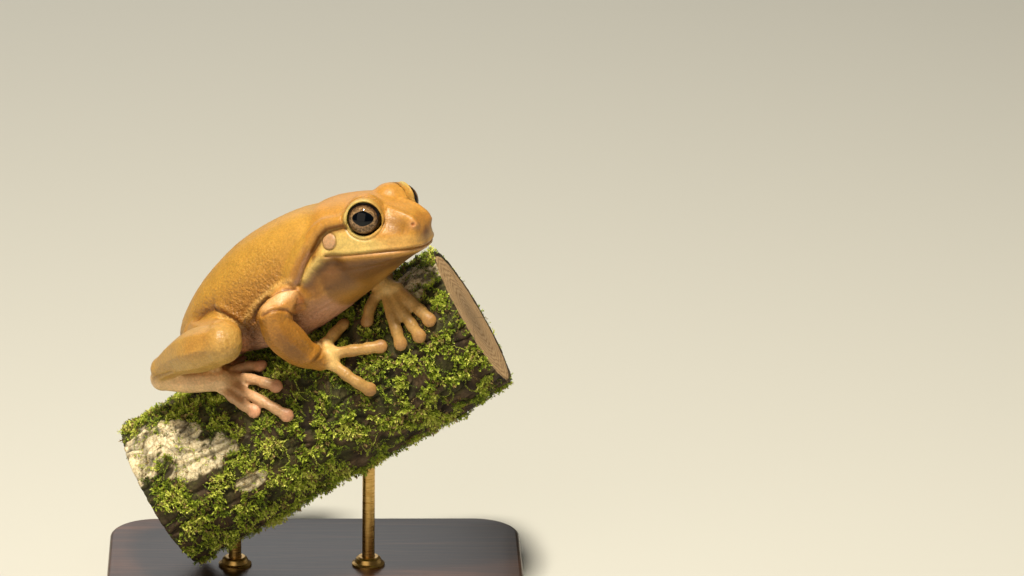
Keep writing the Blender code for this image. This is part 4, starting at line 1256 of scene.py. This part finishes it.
def pale_mask(places):
    """How pale the crust is at places of the branch, from 0 to 1."""
    along, turn, outward, _ = branch_rows(places)
    pixels = pixels_of(places)
    front = rise(-outward[:, 1], -0.25, 0.15)
    mask = np.zeros(len(places))
    for middle, radii, lean in PALE_PIXELS:
        mask = np.maximum(mask, ellipse(pixels, middle, radii, lean) * front)
    for spot_along, spot_turn, reach in HIDDEN_PALE:
        swing = np.angle(np.exp(1j * (turn - math.radians(spot_turn)))) * BRANCH_RADIUS / MM
        gap = np.hypot((along / MM - spot_along) / HIDDEN_STRETCH, swing) / reach
        mask = np.maximum(mask, rise(gap, 1.7, 0.2) * 0.9)
    ragged = soft_noise(places, 3.8, 3.0) * 0.9 + soft_noise(places, 1.3, 8.0) * 0.6
    return rise(mask + ragged * 0.85, 0.4, 0.62) * rise(mask, 0.02, 0.2)


points = read_points(bark.data)
pale = pale_mask(points) * on_side
points += outward * (pale * 0.16 * MM * (0.6 + soft_noise(points, 0.8, 5.0)))[:, None]
write_points(bark.data, points)
green = rise(soft_noise(points, 6.0, 1.0) + 0.25 + 0.35 * (outward @ np.array(BRANCH_UP)), 0.0, 0.5)
paint(bark.data, "pale", pale)
paint(bark.data, "furrow", furrowed)
paint(bark.data, "green", green * (1.0 - pale) * on_side)
paint(bark.data, "sawn", rise(radius / BRANCH_RADIUS, 0.925, 0.915))
from_axis = np.stack([radius * np.cos(turn), radius * np.sin(turn), along], axis=1) / MM
paint(bark.data, "branch_map", from_axis, "FLOAT_VECTOR")
print("pale crust on", round(float(pale[on_side].mean()) * 100), "per cent of the bark")

# %% [markdown]
# ## Finish: damp bark, crust and sawn wood
# The bark is dull and dark, with a green film of algae, and painted shade makes it blackest in its
# furrows. The crust is cream with dark blotches and fine cracks. The sawn ends show pale wood with
# rings, a darker heart and a few drying cracks that run out from it. All three are one finish that
# reads the painted masks, because the surface is one piece.

# %% Bark finish
RING_SPACING = 1.5
CRACK_SPACING = 4.6
BARK_BLOTCH = 5.0
BARK_GRAIN = 0.8
bark_finish, tree, shader = new_finish("damp_bark", Roughness=0.85, IOR=1.45)
place = add_node(tree, "TexCoord", output="Object")
masks = {
    name: add_node(tree, "Attribute", output="Fac", attribute_name=name)
    for name in ("green", "pale", "furrow", "sawn")
}
broad, fine = [
    add_node(
        tree, "TexNoise",
        {"Vector": place, "Scale": per_mm(size), "Detail": detail, "Roughness": roughness},
    )
    for size, detail, roughness in ((BARK_BLOTCH, 6.0, 0.65), (BARK_GRAIN, 5.0, 0.7))
]
outside = add_node(
    tree, "ValToRGB", (broad,),
    ((0.3, "#1E160E"), (0.48, "#3E3020"), (0.6, "#5E4C36"), (0.75, "#7A6A56")),
)
algae = add_node(
    tree, "ValToRGB", (fine,), ((0.35, "#1F240C"), (0.55, "#3D4118"), (0.7, "#62662A"))
)
film = add_node(tree, "Math", (masks["green"], 0.7), operation="MULTIPLY")
outside = add_node(tree, "Mix", {0: film, 6: outside, 7: algae}, output=2, data_type="RGBA")
print("bark blotches of", BARK_BLOTCH, "mm and grain of", BARK_GRAIN, "mm")

# %% Crust and furrows
crust = add_node(
    tree, "ValToRGB", (fine,),
    ((0.32, "#7A6A50"), (0.42, "#C6B48E"), (0.52, "#E8DAB4"), (0.66, "#F6EED4")),
)
crack_place = add_node(
    tree, "Mix", {0: 0.005, 4: place, 5: broad.node.outputs["Color"]}, output=1,
    data_type="VECTOR",
)
cracks = add_node(
    tree, "TexVoronoi", {"Scale": per_mm(CRACK_SPACING), "Vector": crack_place},
    output="Distance", feature="DISTANCE_TO_EDGE",
)
blotches = add_node(tree, "MapRange", (broad, 0.38, 0.48, 0.28, 1.0))
crack_shade = add_node(tree, "MapRange", (cracks, 0.0, 0.06, 0.55, 1.0))
crust_shade = add_node(tree, "Math", (blotches, crack_shade), operation="MULTIPLY")
crust = add_node(tree, "VectorMath", {0: crust, "Scale": crust_shade}, operation="SCALE")
crusted = {0: masks["pale"], 6: outside, 7: crust}
outside = add_node(tree, "Mix", crusted, output=2, data_type="RGBA")
# Painted shade: the bark darker in its furrows.
furrow_shade = add_node(tree, "MapRange", (masks["furrow"], 0.0, 1.0, 1.0, 0.42))
outside = add_node(tree, "VectorMath", {0: outside, "Scale": furrow_shade}, operation="SCALE")
print("cracks about", CRACK_SPACING, "mm apart")

# %% Sawn wood
branch_map = add_node(tree, "Attribute", output="Vector", attribute_name="branch_map")
level = add_node(tree, "VectorMath", (branch_map, (1.0, 1.0, 0.0)), operation="MULTIPLY")
from_heart = add_node(tree, "VectorMath", (level,), output="Value", operation="LENGTH")
rings = add_node(tree, "TexNoise", {"Vector": level, "Scale": 0.22})
for operation, second in (
    ("MULTIPLY", 4.0), ("ADD", from_heart), ("MULTIPLY", math.tau / RING_SPACING), ("SINE", 0.0),
):
    rings = add_node(tree, "Math", (rings, second), operation=operation)
rings = add_node(tree, "MapRange", (rings, -1.0, 1.0, 0.0, 1.0))
wood = add_node(
    tree, "ValToRGB", (rings,), ((0.0, "#9C7A50"), (0.4, "#B8966A"), (1.0, "#C8A87C"))
)
spoke = add_node(tree, "VectorMath", (level,), operation="NORMALIZE")
off_crack = add_node(tree, "TexNoise", {"Vector": spoke, "Scale": 7.0})
for operation, second in (
    ("SUBTRACT", 0.5), ("ABSOLUTE", 0.0), ("MULTIPLY", 60.0), ("ADD", 0.45), ("MINIMUM", 1.0),
):
    off_crack = add_node(tree, "Math", (off_crack, second), operation=operation)
heart = add_node(tree, "MapRange", (from_heart, 3.0, 12.0, 0.62, 1.0))
wood_shade = add_node(tree, "Math", (heart, off_crack), operation="MULTIPLY")
wood = add_node(tree, "VectorMath", {0: wood, "Scale": wood_shade}, operation="SCALE")
sawn_ends = {0: masks["sawn"], 6: outside, 7: wood}
surface = add_node(tree, "Mix", sawn_ends, output=2, data_type="RGBA")
tree.links.new(surface, shader.inputs["Base Color"])
bark_bump = add_node(tree, "Bump", {"Height": fine, "Distance": 0.35 * MM, "Strength": 0.9})
tree.links.new(bark_bump, shader.inputs["Normal"])
bark.data.materials.append(bark_finish)
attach(bark, "root")
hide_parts("perch_branch")
print("bark finished")

# %% [markdown]
# ## Moss
# Moss is thousands of short leafy shoots, with long creeping stems that wander over them. A few
# kinds of shoot are made once, each of pairs of tiny leaves set along a curve, and then copied
# to seeded random roots on the bark, leaning outward and upward. They are joined meshes. None
# grows where the frog sits, and few where the crust is pale.

# %% Kinds of shoot
SHOOT_KINDS = 12
LEAF_WIDTH = 0.27
draw = np.random.default_rng(7)


def add_leaf(bm, place, run, out, size):
    """One leaf: a diamond that stands off its stem."""
    across = run.cross(out).normalized() * size * LEAF_WIDTH
    middle = place + out * size * 0.5 + run * size * 0.42
    tip = place + out * size * 0.95 + run * size
    bm.faces.new([bm.verts.new(p) for p in (place, middle - across, tip, middle + across)])


def leafy(pairs, bend, spread, shrink):
    """A shoot one unit long, of leaf pairs and a leaf at its end, as points and faces."""
    bm = bmesh.new()
    stem = [Vector((bend * t * t, 0.0, t)) for t in np.linspace(0.0, 0.92, pairs + 1)]
    for step, place in enumerate(stem[:-1]):
        run = (stem[step + 1] - place).normalized()
        swing = draw.uniform(0.0, math.pi)
        size = spread * (1.0 - shrink * step / pairs) * draw.uniform(0.8, 1.2)
        for side in (0.0, math.pi):
            out = Vector((math.cos(swing + side), math.sin(swing + side), 0.0))
            add_leaf(bm, place, run, out, size)
    add_leaf(bm, stem[-2], Vector((bend, 0.0, 1.0)).normalized(), Vector((0.1, 0.1, 0.0)), spread)
    bm.verts.index_update()
    shape = np.array([vert.co for vert in bm.verts])
    faces = np.array([[vert.index for vert in face.verts] for face in bm.faces])
    bm.free()
    return shape, faces


kinds = [
    leafy(int(draw.integers(2, 5)), draw.uniform(0.1, 0.7), draw.uniform(0.34, 0.52), 0.45)
    for _ in range(SHOOT_KINDS)
]
creeping_kinds = [leafy(2, 0.0, 0.42, 0.0) for _ in range(4)]
print("leaves in a shoot", [len(faces) for _, faces in kinds])

# %% Roots of the moss
MOSS_TRIES = 50000
SHOOT_SIZES = (0.6, 1.6)
skin_tree = surface_of(skin_mesh)
bark_tree = surface_of(bark.data)


def bark_point(along, turn):
    """The place on the bark at this length along it and this turn, and its way outward."""
    out = Vector((0.0, -1.0, 0.0)) * math.cos(turn) + BRANCH_UP * math.sin(turn)
    start = BRANCH_MIDDLE + BRANCH_AXIS * along + out * BRANCH_RADIUS * 1.3
    return bark_tree.ray_cast(start, -out)[0], out


def moss_roots(tries):
    """Seeded places for shoots, each with its way outward, its size and its clump."""
    along = draw.uniform(BRANCH_ENDS[0] + 0.3 * MM, BRANCH_ENDS[1] - 0.3 * MM, tries)
    turn = draw.uniform(0.0, math.tau, tries)
    size = draw.uniform(*SHOOT_SIZES, tries) * MM
    chance = draw.uniform(0.0, 1.0, tries)
    found = [bark_point(a, t) for a, t in zip(along, turn)]
    keep = np.array([place is not None for place, _ in found])
    places = np.array([place if place else (0, 0, 0) for place, _ in found])
    outs = np.array([out for _, out in found])
    clump = soft_noise(places, 4.5, 11.0) + 0.6 * soft_noise(places, 1.6, 4.0)
    top = outs @ np.array(BRANCH_UP)
    density = rise(clump + 0.14 + 0.1 * top, -0.12, 0.3)
    density *= 1.0 - PALE_CLEAR_OF_MOSS * pale_mask(places)
    keep &= chance < density
    clear = np.array([skin_tree.find_nearest(Vector(p))[3] for p in places])
    keep &= clear > 0.55 * MM
    size = np.minimum(size * (0.7 + 0.6 * density), np.maximum(clear * 0.95, 0.5 * MM))
    return places[keep], outs[keep], size[keep], clump[keep]


roots, outs, sizes, clumps = moss_roots(MOSS_TRIES)
print("moss shoots", len(roots))

# %% [markdown]
# In the picture the moss is olive more than green: dark near the bark, yellow-green at the lit
# tips, with brown dead shoots among it. So each shoot takes its tones from one of two rows, living
# or dead, darker at its foot and brighter at its tip, which is painted shade low in the moss and
# painted light on the tips. Creeping stems are short leafy lengths set end to end.

# %% Tones and counts of the moss
LIVING = ("#171D07", "#404F15", "#748A27", "#AFC03A", "#DDE170")
DEAD = ("#2A1E0D", "#5A4726", "#8C7646", "#B09A64")
DEAD_SHARE = 0.13
CREEPING_STEMS = 260
CREEPING_LENGTHS = 14
CREEPING_STEP = 0.62 * MM
CREEPING_LIFT = 0.7 * MM
print("living tones", len(LIVING), "and dead ones", len(DEAD))


# %% One shoot, and one creeping stem
def row_tones(shares, row):
    """Colours from a row of tones, at shares from 0 to 1 along it."""
    table = np.array([colour(tone) for tone in row])
    stops = np.linspace(0.0, 1.0, len(table))
    return np.stack([np.interp(shares, stops, table[:, i]) for i in range(3)], axis=1)


def axes_along(direction, spin):
    """Axes whose last one lies along a direction, as the columns of a matrix."""
    side = Matrix.Rotation(spin, 3, direction) @ direction.orthogonal().normalized()
    return np.array([side, direction.cross(side), direction]).T


def tuft(kind, place, direction, size, share, dead):
    """A copied shoot: its points, faces, colours and root."""
    shape, faces = kind
    axes = axes_along(direction.normalized(), draw.uniform(0.0, math.tau))
    # Leaves darker towards the shoot's foot and brighter at its tip: painted shade and painted
    # light.
    shares = np.clip(share + shape[:, 2] * 0.3 - 0.12, 0.0, 1.0)
    leaf_tones = row_tones(shares, DEAD if dead else LIVING)
    return place + (shape * size) @ axes.T, faces, leaf_tones, place


def creeping_stem(along, turn, heading):
    """Leafy lengths end to end over the bark, wandering as they go."""
    lengths = []
    previous = None
    share = draw.uniform(0.35, 0.8)
    dead = draw.uniform() < 2.0 * DEAD_SHARE
    for step in range(CREEPING_LENGTHS):
        place, out = bark_point(along, turn)
        if place is None:
            break
        place = place + out * CREEPING_LIFT * math.sin(math.pi * (step + 0.5) / CREEPING_LENGTHS)
        if skin_tree.find_nearest(place)[3] < 0.9 * MM:
            break
        if previous is not None:
            kind = creeping_kinds[int(draw.integers(0, len(creeping_kinds)))]
            run = place - previous
            lengths.append(tuft(kind, np.array(previous), run, run.length * 1.1, share, dead))
        previous = place
        heading += draw.normal(0.0, 0.3)
        along += math.cos(heading) * CREEPING_STEP
        turn += math.sin(heading) * CREEPING_STEP / BRANCH_RADIUS
    return lengths


# %% Shoots joined into a piece
def moss_object(name, tufts):
    """Joined tufts, with a small patch of the bark's map for each."""
    starts = np.cumsum([0] + [len(points) for points, _, _, _ in tufts])
    places = np.concatenate([points for points, _, _, _ in tufts])
    faces = np.concatenate([faces + start for (_, faces, _, _), start in zip(tufts, starts)])
    along, turn, _, _ = branch_rows(np.array([root for _, _, _, root in tufts]))
    u = (along - BRANCH_ENDS[0]) / (BRANCH_ENDS[1] - BRANCH_ENDS[0])
    patch = np.stack([u, turn / math.tau % 1.0], axis=1)
    patch = np.repeat(patch, np.diff(starts), axis=0)
    patch += draw.uniform(-0.0015, 0.0015, patch.shape)
    mesh = bpy.data.meshes.new(name)
    mesh.from_pydata(places, [], faces.tolist())
    leaf_tones = np.concatenate([tones_here for _, _, tones_here, _ in tufts])
    paint(mesh, "tone", leaf_tones, "FLOAT_COLOR")
    layer = mesh.uv_layers.new(name="OFBake")
    layer.data.foreach_set("uv", patch[faces.ravel()].astype(np.float32).ravel())
    return linked(name, mesh)


# %% Shoots set on their roots
tufts = []
bright = 0.5 + clumps * 0.6 + 0.25 * soft_noise(roots, 7.0, 21.0)
shares = np.clip(bright + draw.normal(0.0, 0.14, len(roots)), 0.02, 0.95)
for place, out, size, share in zip(roots, outs, sizes, shares):
    lean = Vector(out) + UP * 0.35 + Vector(draw.normal(0.0, 0.5, 3))
    dead = draw.uniform() < DEAD_SHARE
    tufts.append(tuft(kinds[int(draw.integers(0, len(kinds)))], place, lean, size, share, dead))
for _ in range(CREEPING_STEMS):
    along = draw.uniform(BRANCH_ENDS[0] + 2.0 * MM, BRANCH_ENDS[1] - 2.0 * MM)
    turn, heading = draw.uniform(0.0, math.tau, 2)
    tufts += creeping_stem(along, turn, heading)
print("tufts of moss", len(tufts))

# %% [markdown]
# ## Finish: leafy moss
# Small leaves are thin and a little waxy. Their colour is painted on them tuft by tuft, so the
# finish only has to give the soft sheen that damp moss shows against the light.

# %% Moss finish and pieces
moss_finish, tree, shader = new_finish("leafy_moss", Roughness=0.6, IOR=1.42)
leaf_tone = add_node(tree, "Attribute", output="Color", attribute_name="tone")
tree.links.new(leaf_tone, shader.inputs["Base Color"])
tufts.sort(key=lambda tuft_made: tuft_made[3][1])
third = math.ceil(len(tufts) / 3)
for number, name in enumerate(("moss_near", "moss_middle", "moss_far")):
    moss = moss_object(name, tufts[number * third : (number + 1) * third])
    moss.data.materials.append(moss_finish)
    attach(moss, "root")
    print(name, "has", 2 * len(moss.data.polygons), "triangles")

# %% [markdown]
# ## The stand
# A museum stand is kept plain: a low base of dark stained wood with eased edges, and two short
# brass rods. A turned collar hides each rod's hole. The base is a box whose corners and top
# edge are bevelled, and rods and collars are profiles that are spun.

# %% Base and rods
BASE_CORNER = 12.0 * MM
BASE_EDGE = 1.2 * MM
FOOT_EDGE = 0.4 * MM
COLLAR_PROFILE = (
    (1.75, 0.0), (4.2, 0.0), (4.2, 0.5), (3.5, 0.9), (3.1, 1.9), (2.5, 2.3), (1.75, 2.3),
)


def base_shape():
    low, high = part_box("stand_base")
    size = high - low
    bm = bmesh.new()
    bmesh.ops.create_cube(bm, size=1.0)
    bmesh.ops.scale(bm, vec=size, verts=bm.verts)
    bmesh.ops.translate(bm, vec=(low + high) / 2.0, verts=bm.verts)
    for heights, offset, segments in (
        ((low.z, high.z), BASE_CORNER, 16), ((high.z, high.z), BASE_EDGE, 5),
        ((low.z, low.z), FOOT_EDGE, 2),
    ):
        chosen = []
        for edge in bm.edges:
            ends = sorted(vert.co.z for vert in edge.verts)
            if max(abs(end - height) for end, height in zip(ends, heights)) < 0.01 * MM:
                chosen.append(edge)
        bmesh.ops.bevel(
            bm, geom=chosen, offset=offset, segments=segments, profile=0.5, affect="EDGES",
            material=-1,
        )
    return bm


def spun(profile, place, steps=48):
    """A turned piece: its profile of radius and height spun about an upright axis."""
    bm = bmesh.new()
    verts = [bm.verts.new((radius * MM, 0.0, height * MM)) for radius, height in profile]
    edges = [bm.edges.new(pair) for pair in zip(verts, verts[1:])]
    if profile[0][0] > 0.0 and profile[-1][0] > 0.0:
        edges.append(bm.edges.new((verts[-1], verts[0])))
    bmesh.ops.spin(
        bm, geom=verts + edges, cent=(0, 0, 0), axis=(0, 0, 1),
        angle=math.tau, steps=steps, use_merge=True,
    )
    bmesh.ops.remove_doubles(bm, verts=bm.verts, dist=0.001 * MM)
    bmesh.ops.recalc_face_normals(bm, faces=bm.faces)
    bmesh.ops.translate(bm, vec=place, verts=bm.verts)
    return bm


def edged(obj, angle=30.0):
    """Smooth faces that keep the edges sharper than this angle."""
    obj.data.shade_smooth()
    obj.data.set_sharp_from_angle(angle=math.radians(angle))


# %% [markdown]
# ## Finish: stained walnut and brushed brass
# The base is walnut, stained dark and rubbed with satin varnish. Its grain runs along the base:
# noise drawn out along X, with fine dark pores. The brass was turned on a lathe, so its fine
# scratches run round the rods, and it is a metal whose colour is its reflection.

# %% Wood
ALONG_GRAIN = (0.06, 1.0, 1.0)
ROUND_RODS = (0.1, 0.1, 1.0)
PORE = 0.45
GRAIN = 3.2
SCRATCH = 0.25
wood_finish, tree, shader = new_finish(
    "stained_walnut", Roughness=0.36, Coat_Weight=0.25, Coat_Roughness=0.2
)
place = add_node(tree, "TexCoord", output="Object")
stretched = add_node(tree, "Mapping", {"Vector": place, "Scale": ALONG_GRAIN})
pores = add_node(tree, "TexNoise", {"Vector": stretched, "Scale": per_mm(PORE), "Detail": 3.0})
grain = add_node(
    tree, "TexNoise",
    {
        "Vector": stretched, "Scale": per_mm(GRAIN), "Detail": 6.0, "Roughness": 0.6,
        "Distortion": 1.2,
    },
)
walnut = add_node(
    tree, "ValToRGB", (grain,),
    ((0.3, "#22140C"), (0.48, "#3A2315"), (0.6, "#4E3120"), (0.75, "#6A4630")),
)
pore_shade = add_node(tree, "MapRange", (pores, 0.3, 0.45, 0.6, 1.0))
stained = add_node(tree, "VectorMath", {0: walnut, "Scale": pore_shade}, operation="SCALE")
tree.links.new(stained, shader.inputs["Base Color"])
pore_bump = add_node(tree, "Bump", {"Height": pores, "Distance": 0.05 * MM, "Strength": 0.5})
tree.links.new(pore_bump, shader.inputs["Normal"])
print("walnut grain about", GRAIN, "mm wide")

# %% Brass
brass_finish, tree, shader = new_finish("brushed_brass", Metallic=1.0, Roughness=0.28)
place = add_node(tree, "TexCoord", output="Object")
squeezed = add_node(tree, "Mapping", {"Vector": place, "Scale": ROUND_RODS})
scratches = add_node(
    tree, "TexNoise", {"Vector": squeezed, "Scale": per_mm(SCRATCH), "Detail": 4.0}
)
brass = add_node(tree, "ValToRGB", (scratches,), ((0.35, "#B08A48"), (0.65, "#D8B470")))
tree.links.new(brass, shader.inputs["Base Color"])
dull = add_node(tree, "MapRange", (scratches, 0.0, 1.0, 0.2, 0.4))
tree.links.new(dull, shader.inputs["Roughness"])
print("brass scratched", SCRATCH, "mm apart")

# %% Stand pieces in place
base = object_from(base_shape(), "display_base", wood_finish)
edged(base)
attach(base, "root")
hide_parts("stand_base")
base_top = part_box("stand_base")[1].z
for number in (1, 2):
    low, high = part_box(f"stand_rod_{number}")
    middle = (low + high) / 2.0
    radius = (high.x - low.x) / 2.0 / MM
    tall = (high.z - low.z) / MM
    outline = ((0.0, 0.0), (radius, 0.0), (radius, tall), (0.0, tall))
    foot = (middle.x, middle.y, low.z)
    rod = object_from(spun(outline, foot), f"display_rod_{number}", brass_finish)
    edged(rod)
    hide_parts(f"stand_rod_{number}")
    foot = (middle.x, middle.y, base_top)
    collar = object_from(spun(COLLAR_PROFILE, foot), f"display_collar_{number}", brass_finish)
    edged(collar)
    for piece in (rod, collar):
        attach(piece, "root")
print("rods stand", round(tall, 1), "mm tall")

# %% [markdown]
# ## Floor and light
# A pale matt floor. The key light stands high in front and a little to the left, as the light of
# the picture does, because the eye throws its shadow straight down the cheek there. A wide lamp
# in front softens its shadows, and two weak ones keep the other sides from going black.

# %% Floor, lamps and sky
FLOOR_HALF = 4.0
SKY_TINT = "#EEE2C8"
SKY_STRENGTH = 0.11
floor_finish, tree, shader = new_finish(
    "pale_matt_floor", Roughness=0.9, Base_Color=linear("#CDCFCA")
)
bm = bmesh.new()
bmesh.ops.create_grid(bm, x_segments=4, y_segments=4, size=FLOOR_HALF)
floor = object_from(bm, "floor", floor_finish)

LAMPS = (
    ("key", (-0.10, -0.36, 1.08), 0.15, 17.8, "#FFF3DE"),
    ("front", (-0.45, -0.95, 0.50), 1.1, 3.6, "#FFEFD8"),
    ("side", (1.00, 0.30, 0.40), 0.8, 0.5, "#F2F2EC"),
    ("back", (-0.20, 0.95, 0.55), 0.7, 1.5, "#FFFFFF"),
)
for name, place, size, power, tint in LAMPS:
    data = bpy.data.lights.new(name, "AREA")
    data.size = size
    data.energy = power
    data.color = linear(tint)[:3]
    lamp = linked(name, data)
    aim = (FROG_PLACE - Vector(place)).to_track_quat("-Z", "Y")
    lamp.matrix_world = Matrix.LocRotScale(Vector(place), aim, None)
world = bpy.data.worlds.new("soft_sky")
bpy.context.scene.world = world
world.use_nodes = True
sky = world.node_tree.nodes["Background"].inputs
sky["Color"].default_value = linear(SKY_TINT)
sky["Strength"].default_value = SKY_STRENGTH
print("lamps", len(LAMPS))
